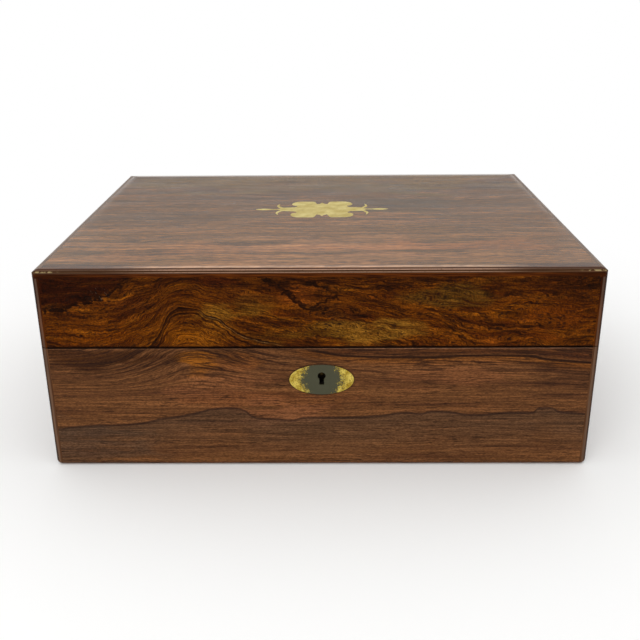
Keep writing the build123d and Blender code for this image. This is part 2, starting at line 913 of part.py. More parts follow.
# Where machine screws come up from under the bedplate into what stands on it
under_xy = [
    ((barrel_bridge_low + barrel_bridge_high) / 2, barrel_y - bridge_margin),
    ((barrel_bridge_low + barrel_bridge_high) / 2, barrel_y + bridge_margin),
    ((left_bridge_low + left_bridge_high) / 2, cylinder_y),
    ((left_bridge_low + left_bridge_high) / 2, barrel_y),
    ((right_bridge_low + right_bridge_high) / 2, cylinder_y),
    (comb_left + bolt_inset, comb_front + comb_clamp / 2),
    (comb_left + comb_width - bolt_inset, comb_front + comb_clamp / 2),
]
under_screws = [Location((x, y, bed_low), (180, 0, 0)) for x, y in under_xy]
comb_step = comb_width / comb_screw_count
comb_screws = [
    Location((comb_left + (index + 0.5) * comb_step, comb_front + comb_clamp / 2, comb_high))
    for index in range(comb_screw_count)
]

with BuildPart() as bedplate:
    block((bed_left, -bed_front, bed_low), (bed_right, bed_back, bed_top))
    fillet(bedplate.edges().filter_by(Axis.Z), bed_foot)
    for place in bed_screws:
        rod_z(floor_board, bed_low, place.position.X, place.position.Y, bed_foot)
    machine_holes(bed_screws)
    machine_holes(under_screws)
save(bedplate, "bedplate")

with BuildPart() as movement_screws:
    with Locations(*bed_screws, *under_screws, *comb_screws):
        add(machine_screw.part)
save(movement_screws, "movement_screws")

# Bridges
with BuildPart() as barrel_bridge:
    bridge_top = barrel_z + bridge_margin
    half_bridge = bridge_margin + bridge_thickness
    add(
        plate_x(
            barrel_bridge_low,
            barrel_bridge_high,
            barrel_y - half_bridge,
            barrel_y + half_bridge,
            bed_top,
            bridge_top,
            bridge_corner,
        )
    )
    rod_x(barrel_bridge_low, barrel_bridge_high, barrel_y, barrel_z, arbor_bore, Mode.SUBTRACT)
    machine_holes(under_screws)
save(barrel_bridge, "barrel_bridge")

with BuildPart() as left_bridge:
    add(
        plate_x(
            left_bridge_low,
            left_bridge_high,
            cylinder_y - bridge_margin,
            barrel_y + bridge_margin,
            bed_top,
            barrel_z + bridge_margin,
            bridge_corner,
        )
    )
    pivot_bore = arbor_pivot + running_clearance
    rod_x(left_bridge_low, left_bridge_high, barrel_y, barrel_z, pivot_bore, Mode.SUBTRACT)
    rod_x(left_bridge_low, left_bridge_high, cylinder_y, cylinder_z, cylinder_bore, Mode.SUBTRACT)
    machine_holes(under_screws)
save(left_bridge, "cylinder_left_bridge")

with BuildPart() as right_bridge:
    add(
        plate_x(
            right_bridge_low,
            right_bridge_high,
            cylinder_y - bridge_margin,
            cylinder_y + bridge_margin,
            bed_top,
            cylinder_z + bridge_margin,
            bridge_corner,
        )
    )
    rod_x(right_bridge_low, right_bridge_high, cylinder_y, cylinder_z, cylinder_bore, Mode.SUBTRACT)
    machine_holes(under_screws)
save(right_bridge, "cylinder_right_bridge")

# Comb and its base
with BuildPart() as comb_base:
    block((comb_left, comb_front, bed_top), (comb_left + comb_width, comb_root, comb_low))
    machine_holes(under_screws)
    machine_holes(comb_screws)
save(comb_base, "comb_base")

with BuildPart() as comb:
    with BuildSketch(Plane.XY.offset(comb_low)):
        with BuildLine():
            edge = [(comb_left, comb_front), (comb_left, comb_tip)]
            for index in range(1, comb_count):
                root = comb_tip - comb_bass_tooth + (comb_bass_tooth - comb_treble_tooth) * index / comb_count
                middle = comb_left + index * comb_pitch
                edge += [(middle - comb_slot / 2, y) for y in (comb_tip, root)]
                edge += [(middle + comb_slot / 2, y) for y in (root, comb_tip)]
            edge += [(comb_left + comb_width, comb_tip), (comb_left + comb_width, comb_front)]
            Polyline(*edge, close=True)
        make_face()
    extrude(amount=comb_thickness)
    machine_holes(comb_screws)
save(comb, "comb")

# Cylinder, its arbor with the pinion, and the great wheel
with BuildPart() as cylinder:
    rod_x(cylinder_low, cylinder_high, cylinder_y, cylinder_z, cylinder_radius)
    rod_x(cylinder_low, cylinder_high, cylinder_y, cylinder_z, cylinder_radius - cylinder_wall, Mode.SUBTRACT)
save(cylinder, "music_cylinder")

with BuildPart() as cylinder_caps:
    for low in (cylinder_low, cylinder_high - cylinder_cap):
        rod_x(low, low + cylinder_cap, cylinder_y, cylinder_z, cylinder_radius - cylinder_wall)
    rod_x(cylinder_low, cylinder_high, cylinder_y, cylinder_z, cylinder_arbor_radius, Mode.SUBTRACT)
save(cylinder_caps, "cylinder_caps")

to_cylinder = degrees(atan2(cylinder_z - barrel_z, cylinder_y - barrel_y))
with BuildPart() as cylinder_arbor:
    rod_x(left_bridge_high, right_bridge_low, cylinder_y, cylinder_z, cylinder_arbor_radius)
    rod_x(drum_high, left_bridge_high, cylinder_y, cylinder_z, cylinder_pivot)
    rod_x(right_bridge_low, right_bridge_high, cylinder_y, cylinder_z, cylinder_pivot)
    add(
        gear(
            drum_high - pinion_overlap,
            wheel_high + pinion_overlap,
            (cylinder_y, cylinder_z),
            pinion_teeth,
            barrel_module,
            to_cylinder + 180 + 180 / pinion_teeth,
        )
    )
save(cylinder_arbor, "cylinder_arbor")

with BuildPart() as great_wheel:
    add(gear(great_wheel_low, great_wheel_high, (cylinder_y, cylinder_z), great_teeth, great_module, 0))
    rod_x(great_wheel_low, great_wheel_high, cylinder_y, cylinder_z, cylinder_arbor_radius, Mode.SUBTRACT)
save(great_wheel, "great_wheel")

# Spring barrel with its toothed rim, cap and mainspring
with BuildPart() as barrel:
    rod_x(drum_low, drum_high, barrel_y, barrel_z, barrel_radius)
    rod_x(drum_low, drum_high, barrel_y, barrel_z, barrel_radius - barrel_wall, Mode.SUBTRACT)
    add(gear(drum_high, wheel_high, (barrel_y, barrel_z), barrel_teeth, barrel_module, to_cylinder))
    rod_x(drum_high, wheel_high, barrel_y, barrel_z, arbor_bore, Mode.SUBTRACT)
save(barrel, "spring_barrel")

with BuildPart() as barrel_cap:
    rod_x(barrel_low, drum_low, barrel_y, barrel_z, barrel_radius)
    rod_x(barrel_low, drum_low, barrel_y, barrel_z, arbor_bore, Mode.SUBTRACT)
save(barrel_cap, "barrel_cap")

spring_outer = barrel_radius - barrel_wall - spring_clearance
spring_inner = arbor_radius + spring_clearance + spring_thickness
spring_step = (spring_outer - spring_inner) / spring_turns
with BuildPart() as mainspring:
    with BuildSketch(Plane.YZ.offset(drum_low + side_clearance)):
        with BuildLine():
            center = barrel_y
            radius = spring_outer
            for half_turn in range(2 * spring_turns):
                CenterArc((center, barrel_z), radius, 180 * half_turn, 180)
                CenterArc((center, barrel_z), radius - spring_thickness, 180 * half_turn, 180)
                center += spring_step / 2 * (1 if half_turn % 2 else -1)
                radius -= spring_step / 2
            last = center + radius
            Line((last, barrel_z), (last - spring_thickness, barrel_z))
            first = barrel_y + spring_outer
            Line((first, barrel_z), (first - spring_thickness, barrel_z))
        make_face()
    extrude(amount=barrel_length - 2 * side_clearance)
save(mainspring, "mainspring")

# Winding arbor, ratchet wheel and the plate that carries the click
with BuildPart() as winding_arbor:
    rod_x(arbor_left, arbor_left + rivet_thickness, barrel_y, barrel_z, rivet_radius)
    rod_x(arbor_left, wheel_high + side_clearance, barrel_y, barrel_z, arbor_radius)
    rod_x(wheel_high, left_bridge_high, barrel_y, barrel_z, arbor_pivot)
save(winding_arbor, "winding_arbor")

with BuildPart() as ratchet:
    with BuildSketch(Plane.YZ.offset(ratchet_low)):
        with BuildLine():
            corners = []
            for index in range(ratchet_teeth):
                turn = 2 * pi * index / ratchet_teeth
                for radius in (ratchet_root, ratchet_tip):
                    corners.append((barrel_y + radius * cos(turn), barrel_z + radius * sin(turn)))
            Polyline(*corners, close=True)
        make_face()
    extrude(amount=ratchet_width)
    rod_x(ratchet_low, ratchet_high, barrel_y, barrel_z, arbor_radius, Mode.SUBTRACT)
save(ratchet, "ratchet_wheel")


def pawl(turn):
    """A pawl drawn in its gullet, turned about the arbor and lifted just clear of the tooth tips."""
    pivot = (barrel_y + pawl_reach, barrel_z + pawl_pivot_height)
    nose = barrel_z + ratchet_root + pawl_gap
    with BuildPart() as piece:
        with BuildSketch(Plane.YZ.offset(ratchet_low)):
            with BuildLine():
                Polyline(
                    (barrel_y + pawl_nose_gap, nose),
                    (barrel_y + pawl_reach / 3, barrel_z + ratchet_tip - pawl_gap),
                    (pivot[0], pivot[1] - pawl_boss),
                    (pivot[0], pivot[1] + pawl_boss),
                    (barrel_y + pawl_nose_gap, nose + pawl_boss),
                    close=True,
                )
            make_face()
            with Locations(pivot):
                Circle(pawl_boss)
                Circle(pawl_pin + running_clearance, mode=Mode.SUBTRACT)
        extrude(amount=ratchet_width)
    lifted = piece.part.rotate(Axis((0, *pivot), (1, 0, 0)), -pawl_lift)
    piece.part = lifted.rotate(Axis((0, barrel_y, barrel_z), (1, 0, 0)), turn)
    return piece


pawl_turn = -2 * 360 / ratchet_teeth
pivot_radius = sqrt(pawl_reach**2 + pawl_pivot_height**2)
pivot_angle = atan2(pawl_pivot_height, pawl_reach) + radians(pawl_turn)
pawl_y = barrel_y + pivot_radius * cos(pivot_angle)
pawl_z = barrel_z + pivot_radius * sin(pivot_angle)
save(pawl(0), "click")
save(pawl(pawl_turn), "lever_pawl")

click_y = barrel_y + pawl_reach
click_z = barrel_z + pawl_pivot_height
spring_y = click_y + 2 * pawl_boss + side_clearance
spring_z = click_z + pawl_boss + click_spring_thickness + pawl_gap
with BuildPart() as winding_plate:
    low = ratchet_tip + winding_plate_margin
    block(
        (plate_face, barrel_y - low, barrel_z - low),
        (left_wall, spring_y + pawl_pin + winding_plate_margin, click_z + pawl_boss + winding_plate_margin),
    )
    fillet(winding_plate.edges().filter_by(Axis.X), bridge_corner)
    rod_x(plate_face, left_wall, barrel_y, barrel_z, arbor_bore, Mode.SUBTRACT)
    rod_x(ratchet_low, plate_face, click_y, click_z, pawl_pin)
    rod_x(ratchet_low, plate_face, spring_y, click_z, pawl_pin)
save(winding_plate, "winding_plate")

with BuildPart() as click_spring:
    block(
        (ratchet_low, spring_y - pawl_pin, click_z + pawl_pin),
        (ratchet_high, spring_y + pawl_pin, spring_z),
    )
    block(
        (ratchet_low, barrel_y + pawl_reach / 2, spring_z - click_spring_thickness),
        (ratchet_high, spring_y, spring_z),
    )
save(click_spring, "click_spring")

with BuildPart() as winding_lever:
    with BuildSketch(Plane.YZ.offset(lever_low)):
        with Locations((barrel_y, barrel_z)):
            Circle(lever_boss)
        with Locations((barrel_y - lever_length, barrel_z)):
            Circle(lever_width / 2)
        with Locations((barrel_y + lever_tail, barrel_z)):
            Circle(lever_width / 2)
        with Locations((barrel_y + (lever_tail - lever_length) / 2, barrel_z)):
            Rectangle(lever_length + lever_tail, lever_width)
        with Locations((barrel_y, barrel_z)):
            Circle(arbor_radius + running_clearance, mode=Mode.SUBTRACT)
    extrude(amount=lever_thickness)
    rod_x(lever_high, ratchet_high, pawl_y, pawl_z, pawl_pin)
save(winding_lever, "winding_lever")

with BuildPart() as lever_handle:
    rod_x(lever_low - handle_length, lever_low, barrel_y - lever_length, barrel_z, handle_radius)
    fillet(lever_handle.faces().sort_by(Axis.X)[0].edges(), handle_radius / 2)
save(lever_handle, "lever_handle")

# Governor
with BuildPart() as governor_frame:
    plate_low = first_y - governor_margin
    plate_high = second_y + governor_margin
    frame_back = fly_y + governor_margin
    block((governor_left_low, plate_low, bed_top), (governor_right, frame_back, base_top))
    for low in (governor_left_low, governor_right_low):
        add(
            plate_x(
                low,
                low + governor_plate,
                plate_low,
                plate_high,
                base_top,
                governor_z + governor_margin,
                bridge_corner,
            )
        )
    journal = governor_arbor + running_clearance
    pivot = governor_pivot + running_clearance
    rod_x(governor_left_low, governor_left_high, first_y, governor_z, journal, Mode.SUBTRACT)
    rod_x(governor_right_low, governor_right, first_y, governor_z, pivot, Mode.SUBTRACT)
    rod_x(governor_left_low, governor_right, second_y, governor_z, pivot, Mode.SUBTRACT)
    rod_z(bed_top, base_top, fly_x, fly_y, pivot, Mode.SUBTRACT)
save(governor_frame, "governor_frame")

with BuildPart() as first_wheel:
    add(
        gear(
            great_wheel_low - pinion_overlap,
            great_wheel_high + pinion_overlap,
            (first_y, governor_z),
            first_pinion_teeth,
            great_module,
            180 + 180 / first_pinion_teeth,
        )
    )
    rod_x(great_wheel_low, governor_right_low - slide_clearance, first_y, governor_z, governor_arbor)
    rod_x(governor_right_low - side_clearance, governor_right, first_y, governor_z, governor_pivot)
    add(gear(first_wheel_low, first_wheel_high, (first_y, governor_z), first_teeth, first_module, 0))
save(first_wheel, "governor_first_wheel")

with BuildPart() as second_wheel:
    add(
        gear(
            first_wheel_low - pinion_overlap,
            first_wheel_high + pinion_overlap,
            (second_y, governor_z),
            second_pinion_teeth,
            first_module,
            180 + 180 / second_pinion_teeth,
        )
    )
    arbor_low = governor_left_high + slide_clearance
    arbor_high = governor_right_low - slide_clearance
    rod_x(arbor_low, arbor_high, second_y, governor_z, governor_arbor)
    rod_x(governor_left_low, governor_right, second_y, governor_z, governor_pivot)
    add(gear(second_wheel_low, second_wheel_high, (second_y, governor_z), worm_wheel_teeth, worm_module, 0))
save(second_wheel, "governor_second_wheel")

# A wheel tooth points at the worm, so the worm's thread passes half a pitch above and below it there.
thread_start = worm_low - worm_pitch / 4 + (worm_turns % 2) * worm_pitch / 2
with BuildPart() as fly_arbor:
    with BuildLine():
        route = Helix(worm_pitch, worm_length, worm_core, center=(fly_x, fly_y, thread_start))
    with BuildSketch(Plane((fly_x + worm_core, fly_y, thread_start), x_dir=(1, 0, 0), z_dir=(0, 1, 0))):
        with BuildLine():
            reach = worm_tip - worm_core
            Polyline(
                (-slide_clearance, -worm_tooth_root / 2),
                (reach, -worm_tooth_tip / 2),
                (reach, worm_tooth_tip / 2),
                (-slide_clearance, worm_tooth_root / 2),
                close=True,
            )
        make_face()
    sweep(is_frenet=True)
    rod_z(base_top + slide_clearance, vane_high, fly_x, fly_y, worm_core)
    rod_z(bed_top, cock_low + cock_thickness, fly_x, fly_y, governor_pivot)
    rod_z(brake_low, brake_low + brake_height, fly_x, fly_y, brake_radius)
save(fly_arbor, "fly_arbor")

with BuildPart() as fly_vanes:
    block(
        (fly_x - fly_radius, fly_y - fly_thickness / 2, vane_low),
        (fly_x + fly_radius, fly_y + fly_thickness / 2, vane_high),
    )
    rod_z(vane_low, vane_high, fly_x, fly_y, worm_core, Mode.SUBTRACT)
save(fly_vanes, "fly_vanes")

with BuildPart() as governor_cock:
    cock_left = fly_x - cock_width / 2
    cock_right = cock_left + cock_width
    cock_high = cock_low + cock_thickness
    block((cock_left, cock_y, bed_top), (cock_right, cock_y + cock_width, cock_high))
    block((cock_left, fly_y, cock_low), (cock_right, cock_y, cock_high))
    rod_z(cock_low, cock_high, fly_x, fly_y, cock_width / 2)
    rod_z(cock_low, cock_high, fly_x, fly_y, governor_pivot + running_clearance, Mode.SUBTRACT)
save(governor_cock, "governor_cock")

# Stop lever on its post
with BuildPart() as stop_lever_post:
    head_low = stop_high + slide_clearance
    rod_z(bed_top, stop_low - slide_clearance, stop_x, stop_y, stop_post)
    rod_z(bed_top, head_low, stop_x, stop_y, stop_stud)
    rod_z(head_low, head_low + stop_head, stop_x, stop_y, stop_post)
save(stop_lever_post, "stop_lever_post")

with BuildPart() as stop_lever:
    with BuildSketch(Plane.XY.offset(stop_low)):
        with Locations((stop_x, stop_y)):
            Circle(stop_boss)
        with Locations((stop_x + stop_handle / 2, stop_y)):
            Rectangle(stop_handle, stop_width)
        with Locations((stop_x + stop_width / 2, stop_y - stop_arm / 2)):
            Rectangle(stop_width, stop_arm)
        with Locations((stop_x, stop_y)):
            Circle(stop_stud + running_clearance, mode=Mode.SUBTRACT)
    extrude(amount=stop_strip)
    rod_z(stop_high, stop_high + knob_height, stop_x + stop_handle, stop_y, knob_radius)
    rod_z(stop_low, stop_high, stop_x + stop_handle, stop_y, knob_radius)
    fillet(stop_lever.faces().sort_by(Axis.Z)[-1].edges(), knob_radius / 2)
save(stop_lever, "stop_lever")
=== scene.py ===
# %% [markdown]
# # A wind-up music box in a rosewood case
# The CAD model gives every solid of the box: boards, veneers, lock, hinges and the musical movement.
# This lesson dresses those solids. Most of the work is in the rosewood, because a French polished
# veneer is nearly all that shows of a closed box, and the rest is brass, steel and a pinned cylinder.

# %% Load the CAD model
from math import cos, pi, radians, sin

import bpy
from mathutils import Matrix, Vector


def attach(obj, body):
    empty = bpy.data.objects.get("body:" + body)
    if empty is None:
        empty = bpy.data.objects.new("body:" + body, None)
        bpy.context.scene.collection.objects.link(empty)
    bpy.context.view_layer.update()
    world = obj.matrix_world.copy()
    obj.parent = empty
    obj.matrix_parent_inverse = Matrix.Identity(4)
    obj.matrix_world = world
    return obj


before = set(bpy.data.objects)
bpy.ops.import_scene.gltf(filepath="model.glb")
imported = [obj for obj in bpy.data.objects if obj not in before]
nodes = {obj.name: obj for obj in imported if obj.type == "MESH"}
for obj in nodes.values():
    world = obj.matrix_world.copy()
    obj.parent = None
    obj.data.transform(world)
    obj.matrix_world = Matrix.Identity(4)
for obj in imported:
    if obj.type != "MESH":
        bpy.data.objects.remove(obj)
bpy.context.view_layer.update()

# %% [markdown]
# ## Camera
# The camera could be moved by eye until the picture looks right, but a wrong lens then hides behind a
# wrong distance. A photograph of a box shows six clear corners, and together they fix both. This
# camera stands where the box's corners fall on those of the photograph. It is tipped down about 22
# degrees, with a trace of turn and roll, and its picture is square.

# %% Camera
sensor_mm = 36.0
picture_pixels = 640
focal_pixels = 847.5
camera_place = Vector((0.0061, -0.5351, 0.2527))
tilt_down, turn_left, roll = radians(21.593), radians(0.763), radians(-0.462)

lens = bpy.data.cameras.new("camera")
lens.sensor_width = sensor_mm
lens.lens = focal_pixels / picture_pixels * sensor_mm
camera = bpy.data.objects.new("camera", lens)
camera.matrix_world = (
    Matrix.Translation(camera_place)
    @ Matrix.Rotation(turn_left, 4, "Z")
    @ Matrix.Rotation(pi / 2 - tilt_down, 4, "X")
    @ Matrix.Rotation(roll, 4, "Z")
)
bpy.context.scene.collection.objects.link(camera)
bpy.context.scene.camera = camera
bpy.context.scene.view_settings.view_transform = "Standard"
print("lens in mm:", round(lens.lens, 2))

# %% [markdown]
# ## Colours and nodes
# Materials could be built by hand in the shader editor, but a script can be read and run again.
# Colours are written as sRGB hex, as a colour picker shows them, and one function makes them linear.
# A second function adds any node, with its settings, its values and its links, so that each material
# below reads as a list of what it is made of. A third leads the results to the shader.


# %% Three helpers
def linear(code):
    """An sRGB hex colour as the linear RGBA that a shader works in."""
    parts = [int(code[i : i + 2], 16) / 255 for i in (1, 3, 5)]
    return (*[c / 12.92 if c <= 0.04045 else ((c + 0.055) / 1.055) ** 2.4 for c in parts], 1.0)


def add(tree, kind, feeds=None, stops=(), points=(), **settings):
    """Adds a node. feeds maps an input to a value, a socket or another node's first output.
    stops are a colour ramp's places and colours, and points are those of a float curve."""
    made = tree.nodes.new(kind)
    for name, value in settings.items():
        setattr(made, name, value)
    for key, value in (feeds or {}).items():
        if isinstance(value, bpy.types.Node):
            value = next(s for s in value.outputs if s.enabled)
        if isinstance(value, bpy.types.NodeSocket):
            tree.links.new(value, made.inputs[key])
        else:
            made.inputs[key].default_value = value
    for index, (place, colour) in enumerate(stops):
        ends = made.color_ramp.elements
        stop = ends[index] if index < 2 else ends.new(place)
        stop.position, stop.color = place, linear(colour)
    if points:
        line = made.mapping.curves[0].points
        for index, place in enumerate(points):
            point = line[index] if index < 2 else line.new(*place)
            point.location = place
        made.mapping.update()
    return made


def dress(tree, shader, looks):
    """Leads each look, such as a colour or a roughness, to the shader's socket of that name."""
    for name, node in looks.items():
        tree.links.new(next(s for s in node.outputs if s.enabled), shader.inputs[name])


print("white:", linear("#FFFFFF"))

# %% [markdown]
# ## Light and stage
# The box was photographed under broad soft light, with a bright ceiling and dimmer walls. A picture of
# a real room could light it, but a dome made of a few numbers needs no picture: it is dim low down and
# bright overhead. The polished lid mirrors the dome behind the box, so a darker cloth hangs there
# between two paler walls, which show as the paler ends of the lid's top.

# %% Sky dome
wall_light, wall_end, ceiling_start = 0.37, 0.10, 0.60
cloth_shade, cloth_half_width, cloth_hem = 0.13, 0.275, 0.290
cloth_fade_start, cloth_fade_end = 0.35, 0.50
skyline_start, skyline_end = 0.15, 0.19

world = bpy.data.worlds.new("studio_dome")
world.use_nodes = True
bpy.context.scene.world = world
sky = world.node_tree
way = add(sky, "ShaderNodeTexCoord")
toward = add(sky, "ShaderNodeSeparateXYZ", {0: way.outputs["Generated"]}).outputs
glow = add(
    sky,
    "ShaderNodeMapRange",
    {0: toward["Z"], 1: wall_end, 2: ceiling_start, 3: wall_light, 4: 1.0},
    interpolation_type="SMOOTHSTEP",
)
aside = add(sky, "ShaderNodeMath", {0: toward["X"]}, operation="ABSOLUTE")
ahead = add(sky, "ShaderNodeMath", {0: toward["Y"], 1: 0.01}, operation="MAXIMUM")
slope = add(sky, "ShaderNodeMath", {0: aside, 1: ahead}, operation="DIVIDE")
cloth = add(
    sky, "ShaderNodeMapRange", {0: slope, 1: cloth_half_width, 2: cloth_hem, 3: cloth_shade, 4: 0.0}
)
low_down = add(
    sky, "ShaderNodeMapRange", {0: toward["Z"], 1: cloth_fade_start, 2: cloth_fade_end, 3: 1.0, 4: 0.0}
)
dark_cloth = add(sky, "ShaderNodeMath", {0: cloth, 1: low_down}, operation="MULTIPLY")
light_left = add(sky, "ShaderNodeMath", {0: 1.0, 1: dark_cloth}, operation="SUBTRACT")
glow = add(sky, "ShaderNodeMath", {0: glow, 1: light_left}, operation="MULTIPLY")
skyline = add(
    sky, "ShaderNodeMapRange", {0: toward["Z"], 1: skyline_start, 2: skyline_end, 3: 1.0, 4: 0.0}
)
strength = add(sky, "ShaderNodeMath", {0: glow, 1: skyline}, operation="MAXIMUM")
dress(sky, sky.nodes["Background"], {"Strength": strength})
sky.nodes["Background"].inputs["Color"].default_value = linear("#FFFFFF")
print("dome nodes:", len(sky.nodes))

# %% [markdown]
# One large lamp in front fills the face of the case. Several small ones would leave several hard
# shadows, and the photograph has none. The stage is a pale floor that turns up into a low rim all
# round. A plane without a rim would end in a hard horizon. Far from the box the floor is plain white,
# and so is the skyline that shows over the rim.

# %% Lamp
softbox_width, softbox_watts = 1.2, 7.0
softbox_place = Vector((-0.5, -1.35, 1.0))

lamp = bpy.data.lights.new("front_softbox", "AREA")
lamp.shape = "DISK"
lamp.size = softbox_width
lamp.energy = softbox_watts
softbox = bpy.data.objects.new("front_softbox", lamp)
softbox.matrix_world = Matrix.Translation(softbox_place) @ (
    (-softbox_place).to_track_quat("-Z", "Y").to_matrix().to_4x4()
)
bpy.context.scene.collection.objects.link(softbox)
print("lamp energy in W:", lamp.energy)

# %% Floor and rim
floor_drop = 0.0003
inner_radius, flat_radius, rim_radius, rim_height = 0.15, 1.0, 1.6, 0.36
rim_steps, ring_points = 10, 96
profile = [(inner_radius, 0.0), (flat_radius, 0.0)]
for step in range(1, rim_steps + 1):
    bend = pi / 2 * step / rim_steps
    radius = flat_radius + (rim_radius - flat_radius) * sin(bend)
    profile.append((radius, rim_height * (1 - cos(bend))))
verts = [(0.0, 0.0, -floor_drop)]
for radius, rise in profile:
    for k in range(ring_points):
        turn = 2 * pi * k / ring_points
        verts.append((radius * cos(turn), radius * sin(turn), rise - floor_drop))
faces = [(0, 1 + k, 1 + (k + 1) % ring_points) for k in range(ring_points)]
for ring in range(len(profile) - 1):
    base = 1 + ring * ring_points
    for k in range(ring_points):
        after = (k + 1) % ring_points
        faces.append((base + k, base + ring_points + k, base + ring_points + after, base + after))
stage_mesh = bpy.data.meshes.new("stage_floor")
stage_mesh.from_pydata(verts, [], faces)
stage_mesh.shade_smooth()
stage_floor = bpy.data.objects.new("stage_floor", stage_mesh)
bpy.context.scene.collection.objects.link(stage_floor)
print("stage faces:", len(stage_mesh.polygons))

# %% Paper of the floor
# Matt white paper: it takes the shadow near the box, and farther out it only shines white.
shadow_radius, white_radius = 0.17, 0.45
paper = bpy.data.materials.new("white_paper_floor")
paper.use_nodes = True
tree = paper.node_tree
shader = tree.nodes["Principled BSDF"]
shader.inputs["Base Color"].default_value = linear("#FAFAF9")
shader.inputs["Roughness"].default_value = 0.9
shader.inputs["Specular IOR Level"].default_value = 0.0
place = add(tree, "ShaderNodeTexCoord")
reach = add(tree, "ShaderNodeVectorMath", {0: place.outputs["Object"]}, operation="LENGTH")
far = add(
    tree,
    "ShaderNodeMapRange",
    {0: reach.outputs["Value"], 1: shadow_radius, 2: white_radius},
    interpolation_type="SMOOTHSTEP",
)
ray = add(tree, "ShaderNodeLightPath")
seen = add(
    tree,
    "ShaderNodeMath",
    {0: ray.outputs["Is Camera Ray"], 1: ray.outputs["Is Glossy Ray"]},
    operation="MAXIMUM",
)
seen = add(tree, "ShaderNodeMath", {0: seen, 1: ray.outputs["Is Transmission Ray"]}, operation="MAXIMUM")
share = add(tree, "ShaderNodeMath", {0: seen, 1: far}, operation="MULTIPLY")
white = add(tree, "ShaderNodeEmission", {"Color": linear("#FFFFFF"), "Strength": 1.0})
both = add(tree, "ShaderNodeMixShader", {0: share, 1: shader, 2: white})
dress(tree, tree.nodes["Material Output"], {"Surface": both})
stage_mesh.materials.append(paper)
print("floor nodes:", len(tree.nodes))

# %% [markdown]
# ## Rosewood
# Rosewood is a dense red-brown wood with black ink lines and open pores that look like short dark
# dashes. A picture of veneer could be wrapped round the box, but its figure would lie wherever the
# picture has it. Noise that is drawn out along the grain gives streaks of a length and a width in
# millimetres, and lines and stains then go where this box has them. Where the grain bends, the height
# across the grain is bent first, and every streak and line follows the same bend, as growth rings do.
# All places are in millimetres: x along the box from its middle, y to the back, z up from the table.

# %% Sizes of the box in millimetres
half_length, half_depth, box_height = 150.0, 119.0, 116.0
seam_height, lid_height = 72.25, 43.5
lock_x, escutcheon_z = 1.2, 53.2
pore_vein_and_shadow_black = "#1C0D06"
print("half length and half depth in mm:", half_length, half_depth)

# %% [markdown]
# The helpers are the few moves that the finishes below are made of: streaks and soft edges first, then
# drawn lines and stains, and last what lays them over one another. Writing each move out as nodes
# would bury the wood under them.


# %% Streaks and soft edges
def begin(name):
    """A new material, its node tree, its shader, and the place on the piece in millimetres."""
    material = bpy.data.materials.new(name)
    material.use_nodes = True
    tree = material.node_tree
    place = add(tree, "ShaderNodeTexCoord")
    metres = place.outputs["Object"]
    mm = add(tree, "ShaderNodeVectorMath", {0: metres, "Scale": 1000.0}, operation="SCALE")
    axes = add(tree, "ShaderNodeSeparateXYZ", {0: mm})
    return material, tree, tree.nodes["Principled BSDF"], axes.outputs


def streaks(tree, along, flow, length, width, seed=0.0, detail=2.0):
    """Noise in spots of that length along the grain and that width across it, in millimetres."""
    far = add(tree, "ShaderNodeMath", {0: along, 1: 1 / length}, operation="MULTIPLY")
    over = add(tree, "ShaderNodeMath", {0: flow, 1: 1 / width}, operation="MULTIPLY")
    place = add(tree, "ShaderNodeCombineXYZ", {0: far, 1: over, 2: seed})
    return add(tree, "ShaderNodeTexNoise", {"Vector": place, "Scale": 1.0, "Detail": detail})


def band(tree, value, low, high, bottom=0.0, top=1.0):
    """Goes smoothly from bottom to top while the value goes from low to high."""
    return add(
        tree,
        "ShaderNodeMapRange",
        {0: value, 1: low, 2: high, 3: bottom, 4: top},
        interpolation_type="SMOOTHSTEP",
    )


print("helpers:", begin.__name__, streaks.__name__, band.__name__)


# %% Drawn lines and stains
def course(tree, along, points, low, high):
    """A height in millimetres read from a smooth line of points over the length of the box."""
    reach = add(tree, "ShaderNodeMapRange", {0: along, 1: -half_length, 2: half_length})
    places = [((x + half_length) / (2 * half_length), (z - low) / (high - low)) for x, z in points]
    places = [places[0], places[-1], *places[1:-1]]
    line = add(tree, "ShaderNodeFloatCurve", {"Value": reach}, points=places)
    return add(tree, "ShaderNodeMapRange", {0: line, 3: low, 4: high})


def ink(tree, distance, half_width, softness):
    """One where the distance is nearly nothing, fading to nought: a drawn line."""
    off = add(tree, "ShaderNodeMath", {0: distance}, operation="ABSOLUTE")
    return band(tree, off, half_width, half_width + softness, 1.0, 0.0)


def spot(tree, across, up, at, reach, uneven=0.0, core=0.35):
    """One at a place in millimetres, and nought beyond that reach, with an uneven edge."""
    steps = [
        add(tree, "ShaderNodeMath", {0: axis, 1: 1 / size, 2: -centre / size}, operation="MULTIPLY_ADD")
        for axis, centre, size in zip((across, up), at, reach)
    ]
    away = add(tree, "ShaderNodeCombineXYZ", {0: steps[0], 1: steps[1]})
    gap = add(tree, "ShaderNodeVectorMath", {0: away}, operation="LENGTH")
    return band(tree, total(tree, gap.outputs["Value"], uneven), 1.0, core)


print("helpers:", course.__name__, ink.__name__, spot.__name__)


# %% One over another
def product(tree, *factors):
    """Several factors multiplied together."""
    result = factors[0]
    for factor in factors[1:]:
        result = add(tree, "ShaderNodeMath", {0: result, 1: factor}, operation="MULTIPLY")
    return result


def total(tree, *terms):
    """Several terms added up."""
    result = terms[0]
    for term in terms[1:]:
        result = add(tree, "ShaderNodeMath", {0: result, 1: term})
    return result


def tint(tree, colour, share, other, blend="MIX"):
    """A colour with a share of another mixed in, or multiplied in."""
    return add(
        tree,
        "ShaderNodeMix",
        {0: share, 6: colour, 7: linear(other) if isinstance(other, str) else other},
        data_type="RGBA",
        blend_type=blend,
    )


print("helpers:", product.__name__, total.__name__, tint.__name__)

